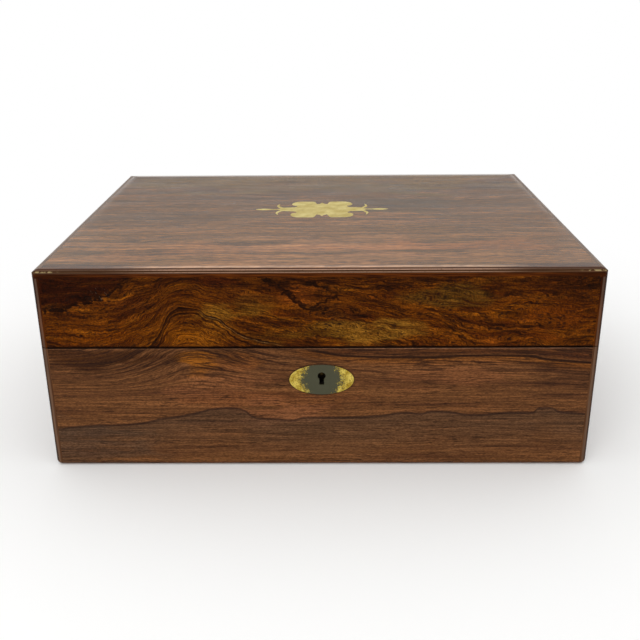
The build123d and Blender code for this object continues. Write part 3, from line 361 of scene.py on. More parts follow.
# %% [markdown]
# ### Pores and polish
# Every rosewood face ends the same way: fibres lighten and darken it in fine streaks, short flecks
# break those up, pores cut dark dashes into it, and the polish lies over it all. The pores could be
# grooves in the mesh, but at this size they only show as colour and a slight dent, so colour,
# roughness and a faint bump give them. Real fibres and pores are 0.1 to 0.2 mm wide, too fine for the
# picture, so they are drawn at about 0.5 mm. The polish is smooth, but it has sunk a little into them.


# %% Pores and polish
def finish_wood(
    tree, shader, along, flow, colour, gloss,
    fibre=0.35, pores=0.6, width=0.5, length=40.0, fleck=2.4, level=0.5,
):
    """Fibres, flecks, pores and polish over a wood colour. A fibre's width and length and a fleck's
    length are in millimetres, fibre and pores say how strongly they show, and level is the shine."""
    fine = streaks(tree, along, flow, length, width, seed=3.1, detail=4.0)
    dots = streaks(tree, along, flow, fleck, 0.8 * width, seed=12.4, detail=2.0)
    shade = product(
        tree,
        band(tree, fine, 0.28, 0.72, 1.0 - fibre, 1.0 + fibre),
        band(tree, dots, 0.3, 0.7, 1.0 - 0.8 * fibre, 1.0 + 0.8 * fibre),
    )
    colour = tint(tree, colour, 1.0, shade, "MULTIPLY")
    dash = streaks(tree, along, flow, 0.15 * length, 0.9 * width, seed=7.7, detail=1.0)
    where = streaks(tree, along, flow, 40.0, 6.0, seed=9.4, detail=1.0)
    pore = product(tree, band(tree, dash, 0.57, 0.68), band(tree, where, 0.35, 0.6, 0.4, 1.0))
    colour = tint(tree, colour, product(tree, pore, pores), pore_vein_and_shadow_black)
    smear = streaks(tree, along, flow, 60.0, 18.0, seed=5.2, detail=2.0)
    rough = total(tree, band(tree, smear, 0.3, 0.7, gloss - 0.04, gloss + 0.06), product(tree, pore, 0.12))
    sunk = add(tree, "ShaderNodeMath", {0: 1.0, 1: pore}, operation="SUBTRACT")
    bump = add(tree, "ShaderNodeBump", {"Strength": 0.12, "Distance": 0.0001, "Height": sunk})
    dress(tree, shader, {"Base Color": colour, "Roughness": rough, "Normal": bump})
    shader.inputs["Specular IOR Level"].default_value = level


print("fibres and pores drawn at 0.5 mm")

# %% [markdown]
# ### Lid front
# The front of the lid is the showiest leaf of veneer. Its grain is arched over a centre left of the
# middle, steeply on the left and slowly on the right, and the arch dies away towards the top. Rings
# round a point could give an arch, but an even one. Here a line of heights along the leaf bends the
# grain, so that each leg has its own slope. The finest fibres bend less than the lines do, so they
# get a grain of their own.

# %% Lid front: bent grain
lid_front, tree, shader, (x, y, z) = begin("figured_rosewood_lid_front")
# Each point of a course is a place along the box and a height.
arch = course(
    tree,
    x,
    [
        (-150, -11), (-130, -11), (-118, -10), (-110, -7.5), (-100, 3.5), (-90, 15.5), (-86, 21.5),
        (-81, 38.5), (-76, 51), (-71, 55), (-65, 54), (-60, 44.5), (-54, 40.5), (-46, 29.5), (-37, 23),
        (-20, 15.5), (0, 8), (30, -3), (60, -15), (90, -26), (120, -31), (150, -32),
    ],
    -35.0,
    60.0,
)
rise = total(tree, z, -seam_height)
fade = add(tree, "ShaderNodeMapRange", {0: rise, 2: lid_height, 3: 1.0, 4: 0.35})
bend = product(tree, arch, fade)
drift = streaks(tree, x, z, 30.0, 9.0, seed=1.3, detail=3.0)
ripple = streaks(tree, x, z, 7.0, 2.6, seed=2.6, detail=3.0)
sway = total(tree, band(tree, drift, 0.2, 0.8, -1.8, 1.8), band(tree, ripple, 0.2, 0.8, -0.6, 0.6))
flow = total(tree, rise, product(tree, bend, -1.0), sway)
grain = total(tree, rise, product(tree, bend, -0.4), sway)
print("main line of the arch: 22 mm over the seam at x = -71 mm")

# %% [markdown]
# Its colours run from black-brown through red-brown to gold in narrow streaks, and larger stains of
# olive, gold and red lie over them: gold in the heart of the arch and at the left end, olive to the
# right of the arch, a red patch near the middle, and a dark right end. The top edge is darkest, with
# sooty blotches. Slow noise could stain it too, but it would put the gold anywhere, so each stain has
# a place and a reach, and noise only frays its edge.

# %% Lid front: colours
broad = streaks(tree, x, grain, 22.0, 1.9, seed=0.4, detail=6.0)
rings = streaks(tree, x, flow, 60.0, 3.4, seed=5.4, detail=4.0)
mixed = total(tree, product(tree, broad, 0.66), product(tree, rings, 0.34))
colour = add(
    tree,
    "ShaderNodeValToRGB",
    {0: mixed},
    stops=[(0.33, "#2C0F01"), (0.67, "#784206"), (0.43, "#421C02"), (0.50, "#522702"), (0.57, "#603004")],
)
patch = streaks(tree, x, z, 24.0, 9.0, seed=6.5, detail=4.0)
uneven = band(tree, patch, 0.25, 0.75, -0.6, 0.6)
# Each stain has its place, its reach, its colour and how much of it has soaked in.
lid_front_stains = (
    ((-122, 79), (34, 8), "#642F02", 0.5),
    ((-70, 79), (22, 11), "#784004", 0.7),
    ((-53, 91), (16, 8), "#7C5214", 0.85),
    ((-56, 83), (18, 11), "#7C460A", 0.75),
    ((-11, 104), (12, 11), "#7A3C0C", 0.75),
    ((-36, 95), (15, 8), "#644410", 0.6),
    ((0, 82), (40, 8), "#58400F", 0.45),
    ((-62, 110), (22, 4), "#380F02", 0.8),
    ((-90, 97), (24, 9), "#4E2608", 0.5),
    ((-40, 100), (18, 8), "#3C1A06", 0.5),
    ((32, 81), (34, 10), "#785016", 0.9),
    ((72, 102), (32, 9), "#463610", 0.55),
    ((12, 91), (22, 7), "#38200A", 0.4),
    ((92, 77), (9, 4), "#80400A", 0.8),
    ((125, 88), (30, 14), "#5A2602", 0.5),
    ((138, 107), (26, 13), "#280C01", 0.8),
)
takes = band(tree, mixed, 0.38, 0.54, 0.25, 1.0)
for at, reach, stain, share in lid_front_stains:
    soak = product(tree, spot(tree, x, z, at, reach, uneven, 0.1), takes)
    colour = tint(tree, colour, product(tree, soak, share), stain)
# Both ends and the top edge are darker, and blotches gather under the edge.
dim = product(
    tree,
    band(tree, x, 110.0, 150.0, 1.0, 0.85),
    band(tree, x, -126.0, -150.0, 1.0, 0.78),
    band(tree, z, 101.0, 112.0, 1.0, 0.68),
)
colour = tint(tree, colour, 1.0, dim, "MULTIPLY")
blotch = streaks(tree, x, z, 11.0, 3.2, seed=17.0, detail=4.0)
soot = product(tree, band(tree, z, 99.0, 109.0), band(tree, blotch, 0.5, 0.6), 0.65)
colour = tint(tree, colour, soot, "#220B02")
print("stains on the lid front:", len(lid_front_stains))

# %% [markdown]
# Black lines are drawn last. A ragged one shuts off a dark corner at the upper left. A broad one falls
# from the top edge to an inky tangle at the middle, and two more close round the red patch there.
# Lines from noise alone would do for plain wood, but these are known by their places, so each follows
# a course of points, and noise only makes its edge ragged.

# %% Lid front: dark corner and falling line
rag = streaks(tree, x, z, 4.0, 2.4, seed=8.8, detail=4.0)
ragged = band(tree, rag, 0.15, 0.85, -2.4, 2.4)
corner = course(
    tree,
    x,
    [
        (-150, 94), (-137, 94.5), (-130, 97), (-117, 100), (-105, 106.5), (-99, 113), (-94, 119),
        (-60, 130), (150, 134),
    ],
    90.0,
    135.0,
)
above = total(tree, z, product(tree, corner, -1.0), ragged)
shut = product(tree, band(tree, above, -2.0, 2.0), band(tree, mixed, 0.44, 0.64, 0.96, 0.68))
colour = tint(tree, colour, shut, "#260A01")
fall = course(
    tree,
    x,
    [
        (-150, 140), (-60, 130), (-36, 118), (-31, 113.5), (-27, 110), (-21, 106.5), (-17, 104),
        (-13, 100), (-10, 97.5), (-7, 95), (2, 94), (20, 92), (150, 80),
    ],
    75.0,
    145.0,
)
beside = total(tree, z, product(tree, fall, -1.0), product(tree, ragged, 0.8))
thick = band(tree, rag, 0.36, 0.5, 0.45, 1.0)
black = [
    product(tree, ink(tree, above, 0.7, 0.8), band(tree, x, -94.0, -100.0), thick),
    product(tree, ink(tree, beside, 1.6, 0.5), band(tree, x, 14.0, 4.0), band(tree, x, -42.0, -36.0), thick),
]
print("ragged lines:", len(black))

# %% Lid front: tangle round the red patch
knots = streaks(tree, x, z, 5.0, 3.6, seed=4.9, detail=4.0)
tangle = product(
    tree,
    spot(tree, x, z, (4.0, 103.0), (11.0, 9.0), uneven),
    ink(tree, total(tree, knots, -0.52), 0.025, 0.05),
    0.6,
)
upper = course(
    tree,
    x,
    [(-150, 112), (-20, 112), (-8, 109.4), (-3, 108.5), (0, 106.8), (8, 106), (150, 104)],
    100.0,
    116.0,
)
lower = course(
    tree,
    x,
    [
        (-150, 88), (-8, 90), (-4, 93.8), (-1.6, 96.5), (1, 97.6), (3.6, 98.6), (7.6, 100.4), (12.8, 98.9),
        (25, 96), (150, 90),
    ],
    85.0,
    105.0,
)
near_upper = total(tree, z, product(tree, upper, -1.0), product(tree, ragged, 0.6))
near_lower = total(tree, z, product(tree, lower, -1.0), product(tree, ragged, 0.5))
black += [
    tangle,
    product(tree, ink(tree, near_upper, 0.9, 0.6), band(tree, x, -10.0, -6.0), band(tree, x, 10.0, 3.0)),
    product(tree, ink(tree, near_lower, 0.4, 0.6), band(tree, x, -6.0, -4.0), band(tree, x, 16.0, 9.0)),
]
print("ragged lines with the tangle:", len(black))

# %% [markdown]
# Thin lines follow the arch. They could be drawn as courses too, but the bent grain already runs along
# the arch, so a line at a fixed place in the grain follows it by itself. A pale crack in the polish
# runs along its right leg, a scuff has left pale strokes in the dark corner, and the lowest half
# millimetre is painted nearly black as shade in the seam.

# %% Lid front: lines of the arch
contour = streaks(tree, x, flow, 34.0, 3.0, seed=11.0, detail=4.0)
black.append(
    product(
        tree,
        ink(tree, total(tree, contour, -0.5), 0.012, 0.03),
        band(tree, patch, 0.44, 0.58, 0.1, 0.85),
    )
)
leg = product(tree, band(tree, x, -114.0, -104.0), band(tree, x, -14.0, -30.0))
steep = band(tree, x, -78.0, -62.0, 0.62, 0.9)
# Each line has its place in the grain and how black it is.
arch_lines = (
    (-14.0, 0.95), (-15.9, 0.7), (-19.2, 0.85), (-24.5, 0.4), (-10.5, 0.5), (-5.5, 0.35), (-1.0, 0.3),
)
for place, strength in arch_lines:
    off = product(tree, total(tree, flow, -place), steep)
    black.append(product(tree, ink(tree, off, 0.45, 0.5), leg, strength))
lines = black[0]
for one in black[1:]:
    lines = add(tree, "ShaderNodeMath", {0: lines, 1: one}, operation="MAXIMUM")
colour = tint(tree, colour, product(tree, lines, 0.92), "#140501")
print("lines of the arch:", len(arch_lines))

# %% Lid front: crack, scuff and painted shade at the seam
crack = product(tree, ink(tree, total(tree, flow, 14.9), 0.1, 0.4), band(tree, x, -66.0, -58.0), leg, thick)
colour = tint(tree, colour, product(tree, crack, 0.3), "#8A6A40")
down_right = total(tree, z, product(tree, x, -0.5))
up_right = total(tree, x, product(tree, z, 0.5))
stroke = streaks(tree, down_right, up_right, 2.6, 0.7, seed=15.0)
scuff = product(tree, spot(tree, x, z, (-115.0, 103.0), (7.0, 5.0)), band(tree, stroke, 0.62, 0.68))
colour = tint(tree, colour, product(tree, scuff, 0.4), "#86796A")
# Painted shade: the lowest half millimetre, at the seam, is painted nearly black.
colour = tint(tree, colour, band(tree, z, 73.3, 72.75, 0.0, 0.95), "#0E0301")
finish_wood(
    tree, shader, x, grain, colour, gloss=0.30, fibre=0.56, pores=0.85, length=16.0, fleck=1.0, level=0.03
)
print("lid front nodes:", len(tree.nodes))

# %% [markdown]
# ### Case front
# The leaf below is quieter: straight red-brown grain, with the foot of the lid's arch running down
# its upper left to a small orange swirl. It could share the lid's material, but it is another leaf
# with other lines, so only the way of drawing is shared.

# %% Case front: grain and stains
case_front, tree, shader, (x, y, z) = begin("straight_rosewood_case_front")
foot = course(
    tree,
    x,
    [
        (-150, -14), (-135, -13.5), (-120, -12), (-110, -9.5), (-102, -6), (-90, 0), (-80, 5), (-70, 8),
        (-58, 7), (-40, 3), (-20, 0), (40, -3), (100, -4), (150, -8),
    ],
    -20.0,
    20.0,
)
drift = streaks(tree, x, z, 70.0, 10.0, seed=1.3, detail=2.0)
sway = band(tree, drift, 0.2, 0.8, -1.2, 1.2)
flow = total(tree, z, -seam_height, product(tree, foot, band(tree, z, 40.0, 68.0), -1.0), sway)
broad = streaks(tree, x, flow, 110.0, 2.4, seed=0.9, detail=5.0)
colour = add(
    tree,
    "ShaderNodeValToRGB",
    {0: broad},
    stops=[(0.30, "#4A2B18"), (0.70, "#754928"), (0.44, "#5A371D"), (0.56, "#664022")],
)
uneven = band(tree, streaks(tree, x, z, 26.0, 5.0, seed=6.5, detail=4.0), 0.25, 0.75, -0.6, 0.6)
case_front_stains = (
    ((-130, 66), (40, 9), "#361A06", 0.75),
    ((-45, 64), (18, 7), "#74421A", 0.6),
    ((0, 69), (26, 5), "#3A1E0C", 0.6),
    ((-52, 49), (38, 12), "#7A4A2A", 0.5),
    ((-20, 42), (50, 10), "#6C3E1E", 0.5),
    ((70, 54), (44, 8), "#7A4A2A", 0.5),
    ((138, 55), (28, 14), "#3C2212", 0.6),
    ((-22, 31), (32, 9), "#7E4E30", 0.5),
    ((25, 14), (75, 15), "#6E482A", 0.4),
)
for at, reach, stain, share in case_front_stains:
    colour = tint(tree, colour, product(tree, spot(tree, x, z, at, reach, uneven), share), stain)
swirl = streaks(tree, x, flow, 40.0, 1.7, seed=3.6, detail=4.0)
upper = product(tree, band(tree, z, 52.0, 68.0), band(tree, x, -20.0, -60.0))
colour = tint(tree, colour, product(tree, upper, band(tree, swirl, 0.42, 0.6), 0.75), "#341A05")
knot = spot(tree, x, z, (-66.0, 62.5), (10.0, 9.0), uneven, 0.2)
colour = tint(tree, colour, product(tree, knot, band(tree, swirl, 0.62, 0.4, 0.3, 0.9)), "#92540E")
print("stains on the case front:", len(case_front_stains))

# %% [markdown]
# One thin black line wanders from end to end at a third of the height, greyer below it than above and
# greyest at the lower left. Another bounds a dark wedge under the seam on the right. Both are courses
# of points, as on the lid, because noise can't be told where to go.

# %% Case front: wedge
wedge = course(
    tree,
    x,
    [
        (-150, 76), (-40, 74), (-12, 71.5), (0, 69.6), (18, 67.2), (40, 66.3), (62, 66.0), (80, 67.1),
        (96, 67.3), (112, 66.8), (120, 65.2), (129, 64.0), (150, 62.8),
    ],
    60.0,
    78.0,
)
over = total(tree, z, product(tree, wedge, -1.0), product(tree, sway, 0.3))
glow = product(tree, band(tree, over, -6.5, -1.0), band(tree, over, 0.4, -0.4), band(tree, x, -30.0, 10.0))
colour = tint(tree, colour, product(tree, glow, 0.5), "#74400C")
colour = tint(tree, colour, band(tree, over, -0.3, 2.4, 0.0, 0.6), "#3E1C06")
bound = product(tree, ink(tree, over, 0.35, 0.8), band(tree, x, -16.0, 0.0))
print("nodes as far as the wedge:", len(tree.nodes))

# %% Case front: wandering line
wander = course(
    tree,
    x,
    [
        (-150, 21.5), (-130, 24.8), (-110, 25.5), (-98, 26.7), (-88, 29), (-74, 31.3), (-65, 33.6),
        (-58, 35.4), (-50, 36), (-42, 34.4), (-33, 29.4), (-24, 29), (-15, 28.2), (-9, 29.8), (12, 30),
        (36, 31.3), (48, 32.8), (55, 32), (62, 33.5), (72, 33), (84, 31.2), (104, 32.8), (117, 32.8),
        (120.5, 35.6), (127, 35.6), (131, 33.4), (150, 31.6),
    ],
    18.0,
    40.0,
)
under = total(tree, z, product(tree, wander, -1.0), product(tree, sway, 0.2))
below = product(tree, band(tree, under, 0.3, -0.5), band(tree, under, -26.0, -2.0, 0.15, 1.0))
colour = tint(tree, colour, product(tree, below, 0.58), "#4A3626")
grey = spot(tree, x, z, (-142.0, 9.0), (48.0, 24.0), uneven)
colour = tint(tree, colour, product(tree, grey, 0.38), "#42352A")
colour = tint(tree, colour, product(tree, ink(tree, under, 0.25, 0.9), 0.75), "#2A1B14")
colour = tint(tree, colour, product(tree, bound, 0.9), "#1A0B04")
contour = streaks(tree, x, flow, 60.0, 2.6, seed=12.0, detail=3.0)
veins = ink(tree, total(tree, contour, -0.5), 0.01, 0.03)
colour = tint(tree, colour, product(tree, veins, band(tree, z, 44.0, 64.0, 0.2, 0.8)), "#2A160B")
print("nodes as far as the lines:", len(tree.nodes))

# %% [markdown]
# A painted shadow rings the escutcheon, and the top of the leaf in the seam is painted nearly black as
# shade, with the edge under it rubbed pale. Both marks are only colour, not meshes of their own.

# %% Case front: painted shadow and shade, wear, and a lighter bottom
# Painted shadow: a dark ring round the edge of the escutcheon.
escutcheon_shadow = spot(tree, x, z, (lock_x, escutcheon_z), (18.8, 10.0), 0.0, 0.9)
colour = tint(tree, colour, product(tree, escutcheon_shadow, 0.7), pore_vein_and_shadow_black)
worn = product(tree, band(tree, z, 71.1, 71.4), band(tree, x, -20.0, 20.0, 0.2, 0.6))
colour = tint(tree, colour, worn, "#7E5A42")
# Painted shade: the top of the leaf in the seam is painted nearly black.
colour = tint(tree, colour, band(tree, z, 71.65, 71.8), "#0E0502")
# The leaf is painted up to a sixth lighter towards the bottom.
colour = tint(tree, colour, 1.0, band(tree, z, 17.0, 3.0, 1.0, 1.16), "MULTIPLY")
finish_wood(tree, shader, x, flow, colour, gloss=0.34, fibre=0.40, pores=0.75, fleck=1.3, level=0.06)
print("case front nodes:", len(tree.nodes))

# %% [markdown]
# ### Lid top
# The top is one straight-grained leaf, kept glossy. Seen at a low angle it mirrors the room and looks
# paler and greyer than the sides. That grey could be painted on, but it would then stay when the box
# turns, so it is left to the gloss; only a painted sheen lightens the top towards the front, and a
# painted reflection runs along its front edge. Its own colour is a warm brown with orange bands near
# the front and at the back, and a darker cloud to the right of the cartouche. Its fibres are drawn
# 1.3 mm wide, because the low angle flattens them to a third.

# %% Lid top: grain and stains
lid_top, tree, shader, (x, y, z) = begin("polished_rosewood_lid_top")
drift = streaks(tree, x, y, 110.0, 24.0, seed=1.7, detail=3.0)
flow = total(tree, y, band(tree, drift, 0.2, 0.8, -4.0, 4.0))
broad = streaks(tree, x, flow, 170.0, 7.0, seed=0.2, detail=5.0)
colour = add(
    tree,
    "ShaderNodeValToRGB",
    {0: broad},
    stops=[(0.32, "#5E401F"), (0.68, "#8C5E36"), (0.44, "#6E4B27"), (0.56, "#7B532D")],
)
uneven = band(tree, streaks(tree, x, y, 40.0, 14.0, seed=5.5, detail=4.0), 0.25, 0.75, -0.6, 0.6)
lid_top_stains = (
    ((60, -76), (75, 15), "#9A5C2C", 0.5),
    ((60, 96), (90, 16), "#96642A", 0.5),
    ((-60, -88), (70, 18), "#8A5832", 0.4),
    ((50, 10), (60, 34), "#56442E", 0.6),
    ((40, 66), (50, 16), "#56462E", 0.5),
    ((-90, -20), (60, 24), "#66482E", 0.4),
    ((5, -78), (60, 34), "#B07C54", 0.2),
    ((110, -50), (50, 60), "#5E4024", 0.35),
    ((0, 95), (170, 50), "#7C5C10", 0.5),
)
for at, reach, stain, share in lid_top_stains:
    colour = tint(tree, colour, product(tree, spot(tree, x, y, at, reach, uneven), share), stain)
print("stains on the lid top:", len(lid_top_stains))

# %% Lid top: veins, painted sheen and painted edge reflection
contour = streaks(tree, x, flow, 90.0, 7.0, seed=13.0, detail=3.0)
veins = ink(tree, total(tree, contour, -0.5), 0.012, 0.03)
colour = tint(tree, colour, product(tree, veins, band(tree, uneven, -0.2, 0.3, 0.1, 0.5)), "#341E0E")
# Painted sheen: the top is painted lighter towards the front. A painted reflection runs along its
# front edge, palest in the middle, and the edge is darker at its ends.
painted_sheen_to_front = band(tree, y, 100.0, -110.0, 0.82, 1.3)
colour = tint(tree, colour, 1.0, painted_sheen_to_front, "MULTIPLY")
middle = product(tree, band(tree, x, -120.0, -80.0), band(tree, x, 120.0, 84.0))
dark_end = product(tree, band(tree, y, -107.0, -112.0), band(tree, middle, 1.0, 0.0), 0.75)
colour = tint(tree, colour, dark_end, "#3A1C0E")
painted_edge_reflection = product(tree, ink(tree, total(tree, y, 113.2), 0.9, 0.8), middle, 0.4)
colour = tint(tree, colour, painted_edge_reflection, "#D0A88C")
finish_wood(
    tree, shader, x, flow, colour, gloss=0.11, fibre=0.38, pores=0.6, width=1.3, length=110.0, fleck=5.0
)
print("lid top nodes:", len(tree.nodes))

# %% [markdown]
# ### Ends and back
# The ends and the back are plainer leaves of the same wood. They could repeat the front's figure, but
# a box isn't veneered with the same leaf four times. One function draws them, with the grain running
# along the piece and another seed for each, so that a box turned round still reads as one box.


# %% Ends and back
def plain_rosewood(name, along_y, seed, dark, middle, light, gloss):
    """A quiet leaf of rosewood with a few ink lines; the grain runs along Y on the ends."""
    material, tree, shader, (x, y, z) = begin(name)
    along = y if along_y else x
    drift = streaks(tree, along, z, 70.0, 16.0, seed=seed + 1.0, detail=4.0)
    flow = total(tree, z, band(tree, drift, 0.2, 0.8, -6.0, 6.0))
    broad = streaks(tree, along, flow, 80.0, 3.6, seed=seed, detail=5.0)
    colour = add(
        tree, "ShaderNodeValToRGB", {0: broad}, stops=[(0.30, dark), (0.70, light), (0.5, middle)]
    )
    patch = streaks(tree, along, z, 90.0, 30.0, seed=seed + 2.0, detail=2.0)
    contour = streaks(tree, along, flow, 70.0, 4.0, seed=seed + 3.0, detail=3.0)
    veins = product(
        tree, ink(tree, total(tree, contour, -0.5), 0.01, 0.03), band(tree, patch, 0.4, 0.6, 0.2, 0.9)
    )
    colour = tint(tree, colour, veins, pore_vein_and_shadow_black)
    finish_wood(tree, shader, along, flow, colour, gloss=gloss, fibre=0.34, level=0.3)
    return material


case_ends = plain_rosewood("rosewood_case_ends", True, 20.0, "#3E2216", "#5A3620", "#704628", 0.32)
lid_ends = plain_rosewood("rosewood_lid_ends", True, 31.0, "#341706", "#543010", "#74461A", 0.30)
case_back = plain_rosewood("rosewood_case_back", False, 43.0, "#3C2214", "#56341E", "#6A4226", 0.36)
lid_back = plain_rosewood("rosewood_lid_back", False, 55.0, "#361B0A", "#523014", "#6C421C", 0.34)
print("plain leaves:", [leaf.name for leaf in (case_ends, lid_ends, case_back, lid_back)])

# %% [markdown]
# ### Edging
# Square strips of dark rosewood guard the edges, rounded over and rubbed by a hundred and fifty years
# of hands. All of them share one material. It could be one noise for all, but wood grain runs along a
# strip, so each place is first told whether it lies on a post, a side strip or a strip along the front
# or the back, and its streaks then run that way.

# %% Edging: grain along each strip
edging, tree, shader, (x, y, z) = begin("worn_rosewood_edging")
# How far a place lies inside the box's sides, front or back, and top, as a negative number.
out_x = total(tree, add(tree, "ShaderNodeMath", {0: x}, operation="ABSOLUTE"), -half_length)
out_y = total(tree, add(tree, "ShaderNodeMath", {0: y}, operation="ABSOLUTE"), -half_depth)
out_z = total(tree, z, -box_height)
post = band(tree, out_z, -4.3, -4.7)
mitre = total(tree, out_x, product(tree, out_y, -1.0))
side = product(tree, band(tree, mitre, -0.2, 0.2), band(tree, out_z, -4.7, -4.3))
minus_x, minus_y, minus_z = [product(tree, axis, -1.0) for axis in (x, y, z)]
along = total(
    tree, x, product(tree, side, total(tree, y, minus_x)), product(tree, post, total(tree, z, minus_x))
)
over = total(
    tree, z, y, product(tree, side, total(tree, x, minus_y)), product(tree, post, total(tree, x, minus_z))
)
streak = streaks(tree, along, over, 18.0, 0.7, seed=2.2, detail=4.0)
colour = add(
    tree,
    "ShaderNodeValToRGB",
    {0: streak},
    stops=[(0.3, "#2C190C"), (0.7, "#503420"), (0.5, "#3E2614")],
)
light = band(tree, streak, 0.35, 0.65)
print("edging nodes of the grain:", len(tree.nodes))

# %% [markdown]
# The crests round the lid's top mirror the room as its polish does, and are drawn paler, because one
# material for all the strips can't have the gloss of the lid's top. Along the front of the lid two
# painted highlight lines shine pale in the middle of the edge and are lost towards its ends, and the
# strip below them has the tone of the veneer.

# %% Edging: crests and front of the lid
crest = product(tree, band(tree, out_z, -2.2, -1.2), band(tree, y, -114.9, -114.1))
pale = tint(tree, linear("#6E5C50"), light, "#8A7668")
colour = tint(tree, colour, product(tree, crest, 0.9), pale.outputs[2])
# Painted shade: the crests are painted dark grey along their outer millimetre at the sides.
crest_side_shade = product(tree, crest, band(tree, out_x, -1.6, -1.0), 0.6)
colour = tint(tree, colour, crest_side_shade, "#3C322C")
across = total(tree, out_z, product(tree, out_y, -1.0))
front = product(tree, band(tree, y, -111.0, -114.0), band(tree, out_z, -7.0, -5.0))
# A noise's scale is in spots for each millimetre: chips are 1.4 mm wide, and flakes below are 3 mm.
grit = add(tree, "ShaderNodeCombineXYZ", {0: x, 1: y, 2: z})
chips = add(tree, "ShaderNodeTexNoise", {"Vector": grit, "Scale": 0.7, "Detail": 4.0})
middle = product(
    tree, front, band(tree, x, -116.0, -70.0, 0.12, 1.0), band(tree, x, 116.0, 80.0, 0.12, 1.0)
)
highlight_fray = product(tree, middle, band(tree, chips, 0.3, 0.5, 0.6, 1.0))
# Painted highlights: two pale lines along the rounded front edge, frayed by the chips noise.
edge_highlights = total(
    tree,
    ink(tree, total(tree, across, -1.3), 0.4, 0.4),
    product(tree, ink(tree, total(tree, across, 1.1), 0.2, 0.35), 0.6),
)
edge_highlights = product(tree, edge_highlights, highlight_fray)
colour = tint(tree, colour, product(tree, edge_highlights, 0.78), "#B8927A")
dark = product(tree, front, ink(tree, total(tree, across, -2.7), 0.35, 0.3), 0.85)
colour = tint(tree, colour, dark, "#4A2612")
face = product(tree, front, band(tree, across, -1.6, -2.2))
tone = tint(tree, linear("#2E1002"), light, "#5A2A06")
ends = product(tree, band(tree, out_x, -60.0, -10.0), 0.6)
tone = tint(tree, tone.outputs[2], ends, "#1C0701")
colour = tint(tree, colour, face, tone.outputs[2])
print("edging nodes as far as the front:", len(tree.nodes))

# %% [markdown]
# The strips of the front corners take the tone of the veneer beside them, lighter on the case and
# darker up the lid, with a thin painted highlight line and painted shade on the outer edge, where the
# corner turns away. The two upper corners are knocked to bare wood. Chips could be cut into the mesh,
# but these are only a few tenths of a millimetre deep, so colour and a slight bump show them.

# %% Edging: corner strips and knocks
nose = product(tree, post, band(tree, y, -114.0, -116.0))
below = tint(tree, linear("#442A1A"), light, "#5C3C26")
above = tint(tree, linear("#381602"), light, "#5A2C06")
strip = tint(tree, below.outputs[2], band(tree, z, 72.0, 72.4), above.outputs[2])
strip = tint(tree, strip.outputs[2], band(tree, z, 88.0, 104.0, 0.0, 0.75), "#260A01")
# Painted highlight: a thin pale line down the rounded corner.
corner_highlight_line = ink(tree, total(tree, out_x, 2.4), 0.3, 0.6)
strip = tint(tree, strip.outputs[2], product(tree, corner_highlight_line, 0.2), "#8A7868")
# Painted shade: the outer edge of the corner, where it turns away, is painted dark.
strip = tint(tree, strip.outputs[2], band(tree, out_x, -2.0, -0.8, 0.0, 0.75), "#1E1712")
colour = tint(tree, colour, nose, strip.outputs[2])
flake = add(tree, "ShaderNodeTexNoise", {"Vector": grit, "Scale": 0.33, "Detail": 4.0})
knock = product(
    tree,
    front,
    band(tree, out_x, -16.0, -9.0),
    band(tree, out_x, -0.8, -2.4),
    ink(tree, total(tree, across, 0.4), 0.3, 0.6),
    band(tree, flake, 0.45, 0.56),
)
colour = tint(tree, colour, product(tree, knock, 0.75), "#A89468")
rough = total(tree, 0.28, product(tree, knock, 0.3))
bump = add(tree, "ShaderNodeBump", {"Strength": 0.1, "Distance": 0.0002, "Height": chips})
dress(tree, shader, {"Base Color": colour, "Roughness": rough, "Normal": bump})
shader.inputs["Specular IOR Level"].default_value = 0.03
print("edging nodes:", len(tree.nodes))

# %% [markdown]
# ## Brass on the case
# The cartouche is thin sheet brass let in flush, dulled to a pale yellow and pitted with specks. The
# escutcheon round the keyhole has kept a dark skin in its middle, where fingers and the key never
# cleaned it, and is bright at its two ends with a speckled edge between. One brass could do for both,
# but they have aged apart: fine scratches make the sheet look dry, and the skin is hardly metal at all.

# %% Cartouche brass
cartouche, tree, shader, (x, y, z) = begin("pale_inlaid_brass")
# Clouds of 7 mm and specks of 1.3 mm, and scratches drawn at 0.35 mm where real ones are finer.
sheet = add(tree, "ShaderNodeCombineXYZ", {0: x, 1: y, 2: z})
cloud = add(tree, "ShaderNodeTexNoise", {"Vector": sheet, "Scale": 0.15, "Detail": 3.0})
speck = add(tree, "ShaderNodeTexNoise", {"Vector": sheet, "Scale": 0.8, "Detail": 2.0})
colour = add(tree, "ShaderNodeValToRGB", {0: cloud}, stops=[(0.35, "#CDB868"), (0.65, "#E8D890")])
colour = tint(tree, colour, band(tree, speck, 0.64, 0.72, 0.0, 0.6), "#8A7436")
slant = total(tree, x, product(tree, y, 0.4))
scratch = streaks(tree, slant, total(tree, y, product(tree, x, -0.4)), 30.0, 0.35, seed=1.0)
rough = band(tree, scratch, 0.3, 0.7, 0.42, 0.58)
dress(tree, shader, {"Base Color": colour, "Roughness": rough})
shader.inputs["Metallic"].default_value = 1.0
print("cartouche nodes:", len(tree.nodes))

# %% Escutcheon brass
escutcheon, tree, shader, (x, y, z) = begin("tarnished_escutcheon_brass")
